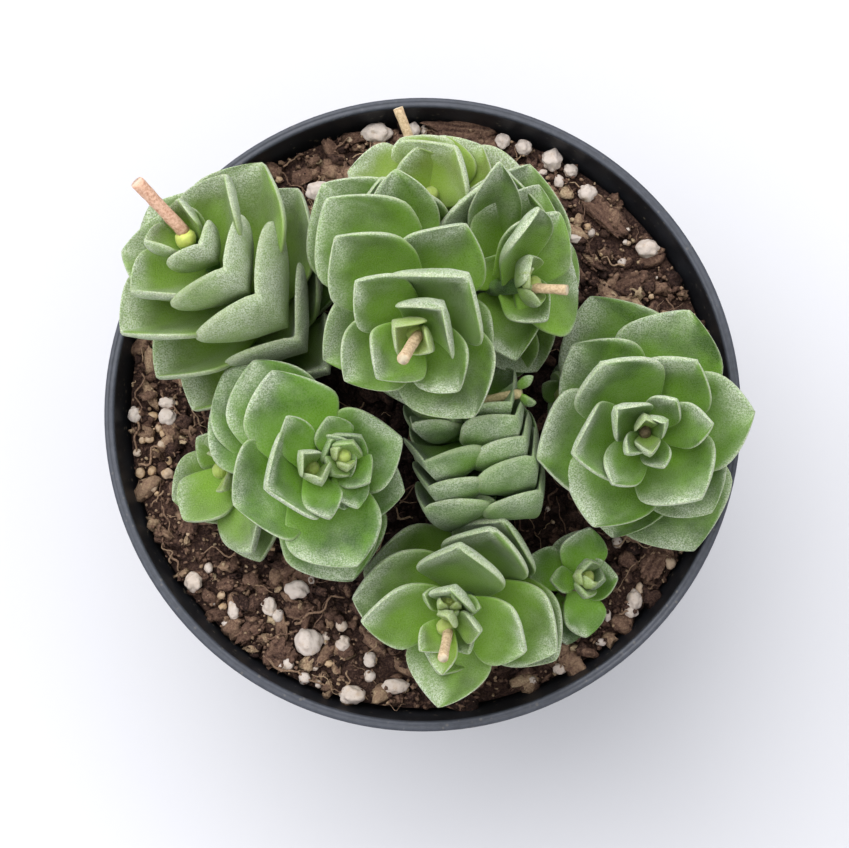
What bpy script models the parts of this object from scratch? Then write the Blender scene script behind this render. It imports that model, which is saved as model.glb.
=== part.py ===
"""Potted crassula: a round nursery pot of bark compost with leafy crassula stems.

The stems carry crossed pairs of broad, fleshy leaves. Five of them and one short branch end in
the dry stub of an old flower stalk. Where a leaf tip, a stem tip or a root stands was measured
in the photograph, so those places are pixels of the picture with a height over the pot's rim.
"""
import math
import random
from dataclasses import dataclass, replace

import bmesh
import bpy
from mathutils import Matrix, Vector, noise
from mathutils.bvhtree import BVHTree

MM = 0.001

# Driving dimensions of the pot
POT_HEIGHT = 85.0 * MM
RIM_DIAMETER = 108.0 * MM
BASE_DIAMETER = 78.0 * MM
RIM_WIDTH = 1.8 * MM
COLLAR_HEIGHT = 11.0 * MM
COLLAR_STEP = 1.3 * MM
COLLAR_TAPER = 0.4 * MM
WALL = 1.6 * MM
WALL_TAPER = 0.6 * MM
FLOOR = 2.0 * MM
EDGE_ROUND = 0.5 * MM
POT_SEGMENTS = 40
DRAIN_HOLES = 8
DRAIN_DIAMETER = 8.0 * MM
DRAIN_CIRCLE = 27.0 * MM
HOLE_SIDES = 8

# Driving dimensions of the soil
SOIL_DEPTH = 6.0 * MM
GAP = 0.3 * MM
SOIL_GAP = 1.6 * GAP
SOIL_SEGMENTS = 36
SOIL_RINGS = 6
SOIL_RELIEF = 1.6 * MM
MOUND_SIZE = 22.0 * MM
MOUND_SHARE = 0.8
GRAIN_SIZE = 6.0 * MM
GRAIN_SHARE = 0.5
LUMPS = 27
LUMP_SIZES = (1.3 * MM, 2.4 * MM)
LUMP_LENGTHS = (1.0, 1.9)
LUMP_HEIGHTS = (0.45, 0.8)
LUMP_KNOCKS = (0.82, 1.12)
LUMP_RISE = 0.2
LUMP_SPREAD = 0.93
LUMP_MARGIN = 1.15
HOLE_DEPTH = 13.0 * MM
HOLE_OVERSHOOT = 8.0 * MM
ROOT_LENGTH = 12.0 * MM

# Driving dimensions of the stems and of the dry stalks
STEM_RADIUS = 2.0 * MM
STEM_TIP_RADIUS = 1.1 * MM
STEM_POINTS = 6
STEM_STEPS = 100
STEM_SWEEP = 0.9
BUD_RADIUS = 1.5 * MM
STALK_RADIUS = 0.85 * MM
STALK_WAIST = 0.9
STALK_SAG = 0.15 * MM
BRACT_WIDTH = 1.9 * MM
WELD = 0.01 * MM

# The leaves' shape: lengths in metres, and shares of a leaf's length, width or thickness
LEAF_THICKNESS = 0.9 * MM
THICKNESS_PER_WIDTH = 0.085
LEAF_SEAT = 0.55 * MM
FINE_WIDTH = 9.0 * MM
WIDEST = 0.58
BASE_SHARE = 0.24
BASE_CURVE = 1.25
TIP_CURVE = 1.8
TIP_BLUNTNESS = 0.85
BASE_CUP = 0.35
FULLNESS = 0.35
INNER_SHARE = 0.42
OUTER_SHARE = 0.58
LEAF_SIDES = 6
LEAF_TURN = math.radians(180 / LEAF_SIDES)
LEAF_SPREAD = 1.16
EVEN_SPACING = 0.4

# How leaves change from the tip of a shoot down: a young one is narrower, a hidden one lies flatter
YOUNG_NARROWING = 0.22
YOUNG_RANKS = 1.6
HIDDEN_RISE = 0.75
HIDDEN_REACH = 1.05
YOUNG_GAP = 0.3

# The photograph's view of the pot, which turns a place in the picture into one in the model
PICTURE_CENTRE = (424.5, 424.0)
PICTURE_FOCUS = 2481.0
EYE_DISTANCE = 420.0 * MM
EYE_ELEVATION = math.radians(84.5)
AIM = Vector((0.3 * MM, -2.3 * MM, POT_HEIGHT))

# Ways to clean a cut or joined mesh, best first: merge distance, join flat faces, how to split faces
CLEANING = (
    (0.02 * MM, True, "BEAUTY"), (0.02 * MM, True, "EAR_CLIP"), (0.005 * MM, True, "BEAUTY"),
    (0.005 * MM, True, "EAR_CLIP"), (0.0, False, "BEAUTY"), (0.0, False, "EAR_CLIP"))
FLAT_ANGLE = math.radians(1.0)
SHARP_ANGLE = math.radians(40.0)
SEED = 7

# Bends to try on a leaf that meets another plant: raised by, turned by (degrees), shortened to
BENDS = tuple(
    (lift, turn, share)
    for share in (1.0, 0.92, 0.84, 0.75, 0.65)
    for lift in (0, 6, -6, 12, -12, 20, -20, 28)
    for turn in (0, 7, -7, 14, -14))


@dataclass(frozen=True)
class Shoot:
    """One leafy shoot. Tips are (x, y, height over the rim in mm[, width in mm[, cup[, sag]]])."""
    tip: tuple
    lean: float
    heading: float
    root: tuple
    pairs: tuple
    gap: float = 3.6
    first: float = 0.8
    ramp: float = 2.0
    slender: float = 0.86
    cup: float = 0.4
    fold: float = 1.4
    sag: float = 0.07
    root_lean: float = 0.0
    hidden: int = 2
    stalk: tuple = ()


SHOOTS = {
    "stem_upper_left": (Shoot(
        tip=(187, 240, 30), lean=42, heading=140, root=(296, 352), gap=4.4, root_lean=30, cup=0.8,
        fold=1.15, sag=0.12, hidden=1, stalk=((184, 232, 31), (137, 182, 38)), pairs=(
            (None, None),
            ((144, 240, 33), (177, 199, 33)),
            ((199, 244, 36, 10, 0.8, 0.15), (166, 207, 28)),
            ((130, 291, 29), (225, 174, 31)),
            ((224, 268, 36, 18, 0.8, 0.18), (121, 252, 19)),
            ((120, 332, 22), (262, 162, 24)),
            ((256, 294, 32, 23, 0.85, 0.24), (150, 205, 10)),
            ((156, 377, 13), (298, 188, 15)),
            ((296, 338, 22, 21, 0.85, 0.15), None),
            ((192, 410, 4), None))),),
    "stem_top_middle": (Shoot(
        tip=(415, 332, 42), lean=30, heading=265, root=(412, 262), gap=4.6, root_lean=20, cup=0.55,
        fold=1.3, stalk=((418, 335, 43), (403, 359, 51)), pairs=(
            ((430, 352, 46, 5, 0.8), (394, 327, 47, 7, 0.9)),
            ((377, 379, 43, 10.5), (442, 309, 48, 12, 0.8, 0.15)),
            ((355, 282, 46), (459, 392, 40)),
            ((344, 381, 36), (468, 277, 47, 17.5, 0.7, 0.1)),
            ((335, 237, 41), (474, 418, 33)),
            ((323, 360, 26), (466, 224, 37)),
            ((326, 198, 31), (489, 372, 24)),
            ((395, 169, 29, 12, 0.3), None))),),
    "stem_top_right": (Shoot(
        tip=(532, 285, 27), lean=58, heading=0, root=(472, 292), gap=3.9, root_lean=25, cup=0.8,
        fold=1.2, hidden=1, stalk=((533, 288, 28), (567, 290, 31)), pairs=(
            ((529, 272, 32, 3.5, 0.5), (531, 288, 29)),
            ((532, 256, 32), (541, 304, 29)),
            ((540, 208, 37, 9, 0.6, 0.1), (578, 288, 16, 17, 0.4)),
            ((560, 212, 26), (548, 320, 24)),
            ((476, 262, 19, 8, 0.6), (572, 245, 9, 15, 0.4)),
            ((539, 184, 22), (516, 361, 18, 12, 0.9)),
            ((500, 161, 33, 9, 0.6, 0.08), (500, 384, 3, 13)),
            ((500, 158, 16), (537, 372, 6)))),),
    "stem_top": (Shoot(
        tip=(432, 196, 12), lean=20, heading=110, root=(448, 214), gap=1.6, root_lean=20, cup=0.3,
        sag=0.04, hidden=0, stalk=((429, 190, 8), (398, 108, 13)), pairs=(
            ((348, 171, 19, 14), (454, 146, 20, 15, 0.5)),
            ((400, 138, 15, 15), (417, 147, 18, 10)),
            ((445, 135, 13, 13), None),
            ((345, 192, 8), (482, 145, 13, 15)),
            (None, (525, 172, 8, 14)))),),
    "stem_right": (Shoot(
        tip=(645, 432, 26), lean=8, heading=-80, root=(640, 425), gap=2.5, cup=0.28, fold=1.6,
        sag=0.1, hidden=0, pairs=(
            ((651, 453, 32, 4, 0.8), (646, 419, 32, 4, 0.8)),
            ((665, 423, 32, 4.5, 0.8), (628, 453, 32, 4, 0.8)),
            ((664, 467, 29, 5), (617, 409, 33, 8, 0.8)),
            ((613, 484, 30, 7.5), (676, 400, 30, 6)),
            ((713, 424, 29, 7.5), (573, 453, 30, 13, 0.6)),
            ((701, 499, 25), (602, 364, 30, 16, 0.2)),
            ((697, 361, 25), (593, 527, 19)),
            ((755, 412, 19), (537, 458, 20)),
            ((712, 513, 11), (572, 345, 16)),
            ((690, 310, 13), (612, 538, 6)),
            (None, (590, 296, 6)))),),
    "stem_right_small": (Shoot(
        tip=(563, 396, -2), lean=15, heading=180, root=(582, 402), gap=2.0, hidden=0, pairs=(
            ((556, 402, 1), (568, 390, 1)),
            ((555, 372, 1), (562, 420, 0)),
            ((542, 385, -2), (575, 385, 0)),
            ((548, 415, -3), (560, 362, -3)))),),
    "stem_left": (
        Shoot(
            tip=(312, 470, 30), lean=12, heading=-10, root=(306, 464), gap=3.0, hidden=1, pairs=(
                ((303, 453, 37, 5, 0.9), (322, 479, 36, 5, 0.9)),
                ((330, 519, 33, 6.5), (287, 416, 34, 6.5)),
                ((266, 488, 33, 15, 0.7), (356, 444, 31)),
                ((272, 370, 29, 16), (357, 567, 25, 16)),
                ((233, 505, 25, 18, 0.7), (403, 439, 27)),
                ((253, 360, 21), (352, 580, 16)),
                ((212, 405, 14), (405, 492, 18)))),
        Shoot(
            tip=(343, 457, 30), lean=15, heading=20, root=(318, 468, 14), gap=1.4, slender=0.7,
            hidden=0, pairs=(
                ((337, 449, 33, 3), (349, 466, 33, 3)),
                ((353, 443, 33, 5), (333, 474, 32, 5)),
                ((358, 509, 29, 6.5), (329, 416, 31, 7)),
                ((370, 482, 30, 7), (331, 440, 31, 6)),
                ((361, 436, 30, 7), (345, 510, 27, 6))))),
    "stem_left_low": (Shoot(
        tip=(222, 470, 4), lean=40, heading=195, root=(262, 466), gap=3.0, root_lean=10, cup=0.35,
        hidden=0, pairs=(
            ((212, 455, 10), (222, 490, 9)),
            ((214, 432, 8), (252, 553, 8)),
            ((183, 520, 4), (247, 425, 6)),
            ((196, 438, 2), (260, 562, 1)),
            ((172, 500, -2), None),
            ((280, 580, 0), (265, 585, -3)))),),
    "stem_middle": (Shoot(
        tip=(462, 405, 14), lean=70, heading=105, root=(500, 534), gap=2.2, first=0.5, ramp=1.2,
        root_lean=5, cup=0.8, fold=1.2, sag=0.25, hidden=0, stalk=((466, 405, 17), (522, 393, 20)),
        pairs=(
            ((451, 417, 22, 6, 0.6, 0.1), None),
            ((511, 402, 23, 11, 0.7, 0.15), None),
            ((412, 424, 21, 9, 0.6, 0.15), None),
            ((516, 416, 23, 14), None),
            ((424, 461, 22, 14), None),
            ((524, 436, 21, 14), None),
            ((428, 487, 19, 14), None),
            ((533, 456, 19, 15), None),
            ((424, 508, 16, 15), None),
            ((540, 490, 15, 15), None),
            ((440, 526, 10, 13), None),
            ((556, 538, 8, 14, 0.6, 0.1), None))),),
    "stem_bottom": (
        Shoot(
            tip=(446, 626, 20), lean=34, heading=228, root=(487, 574), gap=4.4, root_lean=8,
            cup=0.45, slender=0.8, hidden=0, stalk=((448, 632, 21), (443, 658, 28)), pairs=(
                ((447, 616, 26), (442, 675, 21)),
                ((420, 651, 22), (480, 632, 24)),
                ((450, 590, 27, 8), (468, 654, 19)),
                ((361, 622, 20, 11), (526, 652, 18, 11.5)),
                ((458, 546, 25, 15), (438, 708, 10, 14)),
                ((352, 599, 12), (557, 652, 11)),
                ((492, 530, 19), None),
                ((363, 573, 6), (572, 641, 5)),
                ((507, 511, 12), None))),
        Shoot(
            tip=(449, 602, 20), lean=15, heading=90, root=(455, 612, 10), gap=1.6, slender=0.7,
            hidden=0, pairs=(
                ((441, 602, 24), (457, 602, 24)),
                ((448, 616, 24), (449, 590, 25)),
                ((480, 607, 22), (424, 594, 22))))),
    "stem_bottom_right": (Shoot(
        tip=(586, 578, 4), lean=20, heading=15, root=(566, 588), gap=2.2, cup=0.45, hidden=1,
        pairs=(
            ((580, 574, 8), (593, 582, 8)),
            ((592, 562, 8), (588, 596, 7)),
            ((551, 580, 5), (604, 578, 6)),
            ((590, 527, 2), (586, 638, -1)),
            ((523, 568, 0), (618, 577, 1)))),),
    "stem_upper_small": (Shoot(
        tip=(312, 250, 4), lean=30, heading=175, root=(338, 262), gap=2.4, hidden=0, pairs=(
            ((306, 248, 8), (318, 256, 8)),
            ((317, 212, 6), (303, 285, 5)),
            ((289, 262, 3), None),
            ((312, 318, 4), (300, 240, 0)))),),
}
# Base and tip of each withered bract on the middle stalk
BRACTS = (((519, 388, 20), (533, 376, 23)), ((520, 394, 20), (536, 404, 21)))


def seen_at(x, y, rise):
    """Point of the model that the picture shows at (x, y), at a height in mm over the rim."""
    back = Vector((0.0, -math.cos(EYE_ELEVATION), math.sin(EYE_ELEVATION)))
    up = Vector((0.0, math.sin(EYE_ELEVATION), math.cos(EYE_ELEVATION)))
    eye = AIM + back * EYE_DISTANCE
    across = (x - PICTURE_CENTRE[0]) / PICTURE_FOCUS
    above = (PICTURE_CENTRE[1] - y) / PICTURE_FOCUS
    sight = Vector((across, 0.0, 0.0)) + up * above - back
    return eye + sight * ((POT_HEIGHT + rise * MM - eye.z) / sight.z)


def leaning(angle, heading):
    """Unit vector that leans from the vertical by an angle towards a heading, in degrees."""
    lean = math.radians(angle)
    turn = math.radians(heading)
    return Vector((math.sin(lean) * math.cos(turn), math.sin(lean) * math.sin(turn), math.cos(lean)))


class StemLine:
    """The curved centre line of a shoot, measured from its tip."""

    def __init__(self, shoot):
        self.rooted = len(shoot.root) == 2
        root_rise = -SOIL_DEPTH / MM if self.rooted else shoot.root[2]
        self.root = seen_at(shoot.root[0], shoot.root[1], root_rise)
        self.root_way = leaning(shoot.root_lean, shoot.heading)
        self.tip = seen_at(*shoot.tip)
        self.tip_way = leaning(shoot.lean, shoot.heading)
        sweep = (self.tip - self.root).length * STEM_SWEEP
        self.points = []
        for step in range(STEM_STEPS + 1):
            t = step / STEM_STEPS
            self.points.append(
                self.root * (2 * t ** 3 - 3 * t ** 2 + 1)
                + self.root_way * sweep * (t ** 3 - 2 * t ** 2 + t)
                + self.tip * (3 * t ** 2 - 2 * t ** 3)
                + self.tip_way * sweep * (t ** 3 - t ** 2))
        self.lengths = [0.0]
        for before, after in zip(self.points, self.points[1:]):
            self.lengths.append(self.lengths[-1] + (after - before).length)

    def below_tip(self, distance):
        """Point and direction on the line at a distance down from the tip."""
        wanted = max(self.lengths[-1] - distance, STEM_TIP_RADIUS / 2)
        for index in range(1, len(self.points)):
            if self.lengths[index] >= wanted:
                break
        span = self.lengths[index] - self.lengths[index - 1]
        share = (wanted - self.lengths[index - 1]) / span
        way = (self.points[index] - self.points[index - 1]).normalized()
        return self.points[index - 1].lerp(self.points[index], share), way

    def knots(self):
        """Few points of the line for the stem's tube, with its root in the soil."""
        first = [self.root - self.root_way * ROOT_LENGTH] if self.rooted else []
        stride = STEM_STEPS / (STEM_POINTS - 1)
        return first + [self.points[round(step * stride)] for step in range(STEM_POINTS)]


@dataclass
class Blade:
    """One leaf: a thick, cupped blade from its base on the stem to its tip."""
    base: Vector
    tip: Vector
    stem_way: Vector
    width: float
    cup: float
    fold: float
    sag: float
    seen: bool

    def point(self, along, across, face):
        """Surface point: along 0 to 1, across -1 to 1 and face -1 (outer) to 1 (inner)."""
        chord = self.tip - self.base
        length = chord.length
        way = chord / length
        inward = (self.stem_way - way * self.stem_way.dot(way)).normalized()
        side = inward.cross(way)
        half = outline(along) * self.width / 2
        lift = abs(across) ** self.fold * half * self.cup
        lift *= BASE_CUP + (1 - BASE_CUP) * math.sin(along * math.pi / 2)
        lift -= math.sin(math.pi * along) * self.sag * length
        thick = LEAF_THICKNESS + THICKNESS_PER_WIDTH * self.width
        thick *= math.sin(math.pi * min(max(along, 0.0), 1.0)) ** FULLNESS
        lift += thick * face * (INNER_SHARE if face > 0 else OUTER_SHARE)
        return self.base + chord * along + side * half * across + inward * lift

    def bent(self, lift, turn, share):
        """This leaf raised and turned about its base by angles in degrees, and shortened."""
        chord = self.tip - self.base
        hinge = chord.cross(self.stem_way).normalized()
        chord = Matrix.Rotation(math.radians(lift), 3, hinge) @ chord
        chord = Matrix.Rotation(math.radians(turn), 3, self.stem_way) @ chord
        narrow = self.width * (0.4 + 0.6 * share)
        return replace(self, tip=self.base + chord * share, width=narrow)

    def fill(self, bm, grow=0.0):
        """Adds the closed leaf to a mesh, with blunt margins and a keel, grown all round."""
        rings = 4 if self.seen and self.width > FINE_WIDTH else 3
        made = bmesh.ops.create_uvsphere(bm, u_segments=LEAF_SIDES, v_segments=rings, radius=1.0)
        bmesh.ops.rotate(bm, verts=made["verts"], matrix=Matrix.Rotation(LEAF_TURN, 3, "Z"))
        for vertex in made["verts"]:
            polar = math.acos(max(-1.0, min(1.0, -vertex.co.z)))
            along = EVEN_SPACING * polar / math.pi + (1 - EVEN_SPACING) * (1 - math.cos(polar)) / 2
            ring = vertex.co.xy.length
            pole = ring < 0.01
            across = 0.0 if pole else max(-1.0, min(1.0, LEAF_SPREAD * vertex.co.x / ring))
            point = self.point(along, across, 0.0 if pole else vertex.co.y / ring)
            if grow:
                spine = self.point(0.5 if pole else along, 0.0, 0.0)
                point += (point - spine).normalized() * grow
            vertex.co = point


def outline(along):
    """Half width of a leaf as a share of its widest half width."""
    if along < WIDEST:
        opening = math.sin(along / WIDEST * math.pi / 2) ** BASE_CURVE
        return BASE_SHARE + (1 - BASE_SHARE) * opening
    beyond = (along - WIDEST) / (1 - WIDEST)
    return max(1 - beyond ** TIP_CURVE, 0.0) ** TIP_BLUNTNESS


def blades_of(shoot):
    """All leaves of one shoot, in crossed pairs from the tip down."""
    line = StemLine(shoot)
    blades = []
    reaches = {}
    down = shoot.first * MM
    for rank in range(len(shoot.pairs) + shoot.hidden):
        base, way = line.below_tip(down)
        row = shoot.pairs[rank] if rank < len(shoot.pairs) else (None, None)
        reach = [seen_at(*entry[:3]) - base if entry else None for entry in row]
        for side in (0, 1):
            mate = reach[1 - side] if row[1 - side] else None
            if reach[side] is None and mate is not None:
                reach[side] = way * (2 * mate.dot(way)) - mate
            elif reach[side] is None and reaches.get(rank - 2):
                older = reaches[rank - 2][side]
                along = way * older.dot(way)
                reach[side] = along * HIDDEN_RISE + (older - along) * HIDDEN_REACH
        reaches[rank] = reach if reach[0] is not None else None
        for side in (0, 1):
            if reach[side] is None:
                continue
            entry = row[side] or ()
            share = shoot.slender - YOUNG_NARROWING * math.exp(-rank / YOUNG_RANKS)
            width = entry[3] * MM if len(entry) > 3 else reach[side].length * share
            cup = entry[4] if len(entry) > 4 else shoot.cup
            sag = entry[5] if len(entry) > 5 else shoot.sag
            outward = (reach[side] - way * reach[side].dot(way)).normalized()
            blades.append(Blade(
                base + outward * LEAF_SEAT, base + reach[side], way, width, cup, shoot.fold, sag,
                bool(entry)))
        age = 1 - math.exp(-(rank + YOUNG_GAP) / shoot.ramp)
        down += shoot.gap * MM * (YOUNG_GAP + (1 - YOUNG_GAP) * age)
    return blades


def filled(fill):
    """A bmesh that a function fills."""
    bm = bmesh.new()
    fill(bm)
    return bm


def tree_of(fill):
    """Search tree of the mesh that a function fills."""
    bm = filled(fill)
    tree = BVHTree.FromBMesh(bm)
    bm.free()
    return tree


def link(name, mesh, collection):
    """A new object of a mesh in a collection."""
    obj = bpy.data.objects.new(name, mesh)
    collection.objects.link(obj)
    return obj


def solid(name, fill, collection):
    """A new object of the mesh that a function fills."""
    bm = filled(fill)
    mesh = bpy.data.meshes.new(name)
    bm.to_mesh(mesh)
    bm.free()
    return link(name, mesh, collection)


def as_cutter(obj):
    """Marks an object that only cuts or joins another."""
    obj.hide_render = True
    obj.display_type = "WIRE"


def tube(name, points, radii, collection):
    """A closed round tube along points, as a mesh object."""
    curve = bpy.data.curves.new(name, "CURVE")
    curve.dimensions = "3D"
    curve.bevel_depth = 1.0
    curve.bevel_resolution = 1
    curve.use_fill_caps = True
    curve.splines.new("POLY")
    spline = curve.splines[0]
    spline.points.add(len(points) - 1)
    for knot, point, radius in zip(spline.points, points, radii):
        knot.co = (*point, 1.0)
        knot.radius = radius
    guide = link(name + "_guide", curve, collection)
    bpy.context.view_layer.update()
    evaluated = guide.evaluated_get(bpy.context.evaluated_depsgraph_get())
    mesh = bpy.data.meshes.new_from_object(evaluated)
    bpy.data.objects.remove(guide)
    bm = bmesh.new()
    bm.from_mesh(mesh)
    bmesh.ops.remove_doubles(bm, verts=bm.verts, dist=WELD)
    bmesh.ops.recalc_face_normals(bm, faces=bm.faces)
    bm.to_mesh(mesh)
    bm.free()
    mesh.materials.clear()
    return link(name, mesh, collection)


def cleaned(obj):
    """The object's evaluated mesh as one clean body, and whether that body is closed."""
    bpy.context.view_layer.update()
    evaluated = obj.evaluated_get(bpy.context.evaluated_depsgraph_get())
    mesh = bpy.data.meshes.new_from_object(evaluated)
    mesh.materials.clear()
    for merge, flat, split in CLEANING:
        bm = bmesh.new()
        bm.from_mesh(mesh)
        if merge:
            bmesh.ops.remove_doubles(bm, verts=bm.verts, dist=merge)
        if flat:
            bmesh.ops.dissolve_limit(
                bm, angle_limit=FLAT_ANGLE, use_dissolve_boundaries=False, verts=bm.verts,
                edges=bm.edges)
        bmesh.ops.triangulate(bm, faces=bm.faces, ngon_method=split)
        keep_largest(bm)
        closed = all(len(edge.link_faces) == 2 for edge in bm.edges)
        if closed:
            bm.to_mesh(mesh)
        bm.free()
        if closed:
            break
    return mesh, closed


def keep_largest(bm):
    """Drops every loose scrap but the body with the most faces."""
    left = set(bm.faces)
    bodies = []
    while left:
        front = [left.pop()]
        body = set(front)
        while front:
            face = front.pop()
            for edge in face.edges:
                for other in edge.link_faces:
                    if other in left:
                        left.discard(other)
                        body.add(other)
                        front.append(other)
        bodies.append(body)
    bodies.sort(key=len)
    scraps = [face for body in bodies[:-1] for face in body]
    bmesh.ops.delete(bm, geom=scraps, context="FACES")


def combine(obj, collection, operation):
    """Applies one Boolean of an object with a whole collection, which it then empties."""
    for other in collection.objects:
        as_cutter(other)
    modifier = obj.modifiers.new("combine", "BOOLEAN")
    modifier.operand_type = "COLLECTION"
    modifier.collection = collection
    modifier.operation = operation
    for solver in ("EXACT", "MANIFOLD"):
        modifier.solver = solver
        mesh, closed = cleaned(obj)
        if closed:
            break
    obj.modifiers.clear()
    obj.data = mesh
    for other in list(collection.objects):
        bpy.data.objects.remove(other)


def finish(obj, name, colour, roughness):
    """Gives a finished piece its own plain Principled material and smooth round faces."""
    made = bpy.data.materials.new(name)
    made.use_nodes = True
    shader = made.node_tree.nodes["Principled BSDF"]
    shader.inputs["Base Color"].default_value = (*colour, 1.0)
    shader.inputs["Roughness"].default_value = roughness
    shader.inputs["Metallic"].default_value = 0.0
    made.diffuse_color = (*colour, 1.0)
    obj.data.materials.append(made)
    obj.data.shade_smooth()
    obj.data.set_sharp_from_angle(angle=SHARP_ANGLE)


def turned(name, profile, segments, collection):
    """A closed solid turned round Z from (radius, height) points."""

    def draw(bm):
        knots = [bm.verts.new((radius, 0.0, height)) for radius, height in profile]
        for before, after in zip(knots, knots[1:]):
            bm.edges.new((before, after))

    obj = solid(name, draw, collection)
    screw = obj.modifiers.new("turn", "SCREW")
    screw.steps = segments
    screw.render_steps = segments
    screw.use_merge_vertices = True
    screw.merge_threshold = 0.0001
    screw.use_normal_calculate = True
    return obj


def body_radius(height):
    """Radius of the outside of the pot's body at a height."""
    foot = BASE_DIAMETER / 2
    return foot + (RIM_DIAMETER / 2 - COLLAR_STEP - foot) * height / POT_HEIGHT


def wall_radius(height):
    """Radius of the pot's inner wall at a height."""
    return body_radius(height) - WALL + WALL_TAPER * height / POT_HEIGHT


def make_pot(collection, cutters):
    """Round pot with a collar under its rim and a ring of drain holes in its floor."""
    rim = RIM_DIAMETER / 2
    foot = BASE_DIAMETER / 2
    collar = POT_HEIGHT - COLLAR_HEIGHT
    profile = (
        (0.0, FLOOR),
        (wall_radius(FLOOR), FLOOR),
        (wall_radius(collar), collar),
        (rim - RIM_WIDTH, POT_HEIGHT - EDGE_ROUND),
        (rim - RIM_WIDTH + EDGE_ROUND, POT_HEIGHT),
        (rim - EDGE_ROUND, POT_HEIGHT),
        (rim, POT_HEIGHT - EDGE_ROUND),
        (rim - COLLAR_TAPER, collar + EDGE_ROUND),
        (rim - COLLAR_TAPER - EDGE_ROUND, collar),
        (body_radius(collar), collar),
        (foot, EDGE_ROUND),
        (foot - EDGE_ROUND, 0.0),
        (0.0, 0.0))
    pot = turned("pot", profile, POT_SEGMENTS, collection)
    for index in range(DRAIN_HOLES):
        turn = 2 * math.pi * (index + 0.5) / DRAIN_HOLES
        drain = solid("drain", lambda bm: bmesh.ops.create_cone(
            bm, cap_ends=True, segments=HOLE_SIDES, radius1=DRAIN_DIAMETER / 2,
            radius2=DRAIN_DIAMETER / 2, depth=FLOOR * 3), cutters)
        drain.location = (DRAIN_CIRCLE * math.cos(turn), DRAIN_CIRCLE * math.sin(turn), FLOOR / 2)
    combine(pot, cutters, "DIFFERENCE")
    finish(pot, "black_plastic", (0.014, 0.015, 0.018), 0.42)
    return pot


def soil_level(x, y):
    """Height of the soil's surface, with low mounds and coarse grain."""
    mound = noise.noise(Vector((x, y, 0.0)) / MOUND_SIZE) * MOUND_SHARE
    grain = noise.noise(Vector((x, y, GRAIN_SIZE)) / GRAIN_SIZE) * GRAIN_SHARE
    return POT_HEIGHT - SOIL_DEPTH + SOIL_RELIEF * (mound + grain)


def fill_plug(bm):
    """Fills a mesh with the plug of soil and its uneven top."""
    top = POT_HEIGHT - SOIL_DEPTH
    foot = FLOOR + GAP
    rim = wall_radius(top) - SOIL_GAP
    bmesh.ops.create_cone(
        bm, cap_ends=True, segments=SOIL_SEGMENTS, radius1=wall_radius(foot) - SOIL_GAP,
        radius2=rim, depth=top - foot, matrix=Matrix.Translation((0.0, 0.0, (top + foot) / 2)))
    upper = [face for face in bm.faces if face.normal.z > 0.9]
    for _ in range(SOIL_RINGS):
        bmesh.ops.inset_region(
            bm, faces=upper, thickness=rim / (SOIL_RINGS + 0.6), use_even_offset=True)
    bmesh.ops.triangulate(bm, faces=[face for face in bm.faces if face.normal.z > 0.9])
    for vertex in bm.verts:
        if vertex.co.z > top - GAP and vertex.co.xy.length < rim - GAP:
            vertex.co.z = soil_level(vertex.co.x, vertex.co.y)


def fill_lump(bm, rng):
    """Fills a mesh with one perlite grain or bark chip, sunk in the soil's surface."""
    rim = wall_radius(POT_HEIGHT - SOIL_DEPTH) - SOIL_GAP
    reach = rim * math.sqrt(rng.random()) * LUMP_SPREAD
    turn = rng.uniform(0.0, 2 * math.pi)
    size = rng.uniform(*LUMP_SIZES)
    long = size * rng.uniform(*LUMP_LENGTHS)
    high = size * rng.uniform(*LUMP_HEIGHTS)
    bmesh.ops.create_icosphere(bm, subdivisions=1, radius=1.0)
    for vertex in bm.verts:
        vertex.co *= rng.uniform(*LUMP_KNOCKS)
    bmesh.ops.scale(bm, verts=bm.verts, vec=(long, size, high))
    bmesh.ops.rotate(bm, verts=bm.verts, matrix=Matrix.Rotation(rng.uniform(0.0, math.pi), 3, "Z"))
    reach = min(reach, rim - long * LUMP_MARGIN)
    x = reach * math.cos(turn)
    y = reach * math.sin(turn)
    bmesh.ops.translate(bm, verts=bm.verts, vec=(x, y, soil_level(x, y) + high * LUMP_RISE))


def fill_hole(bm, line):
    """Fills a mesh with the plain hole that a stem stands in."""
    radius = STEM_RADIUS + 2 * GAP
    middle = line.root - line.root_way * (HOLE_DEPTH - HOLE_OVERSHOOT) / 2
    turn = line.root_way.to_track_quat("Z", "Y").to_matrix().to_4x4()
    bmesh.ops.create_cone(
        bm, cap_ends=True, segments=HOLE_SIDES, radius1=radius, radius2=radius,
        depth=HOLE_DEPTH + HOLE_OVERSHOOT, matrix=Matrix.Translation(middle) @ turn)


def make_soil(collection, cutters, lines):
    """Plug of compost with raised bark and perlite, and a plain hole for each rooted stem."""
    soil = solid("soil", fill_plug, collection)
    rng = random.Random(SEED)
    for _ in range(LUMPS):
        solid("lump", lambda bm: fill_lump(bm, rng), cutters)
    combine(soil, cutters, "UNION")
    for line in lines:
        solid("hole", lambda bm: fill_hole(bm, line), cutters)
    combine(soil, cutters, "DIFFERENCE")
    finish(soil, "compost", (0.060, 0.035, 0.024), 0.95)
    return soil


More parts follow.
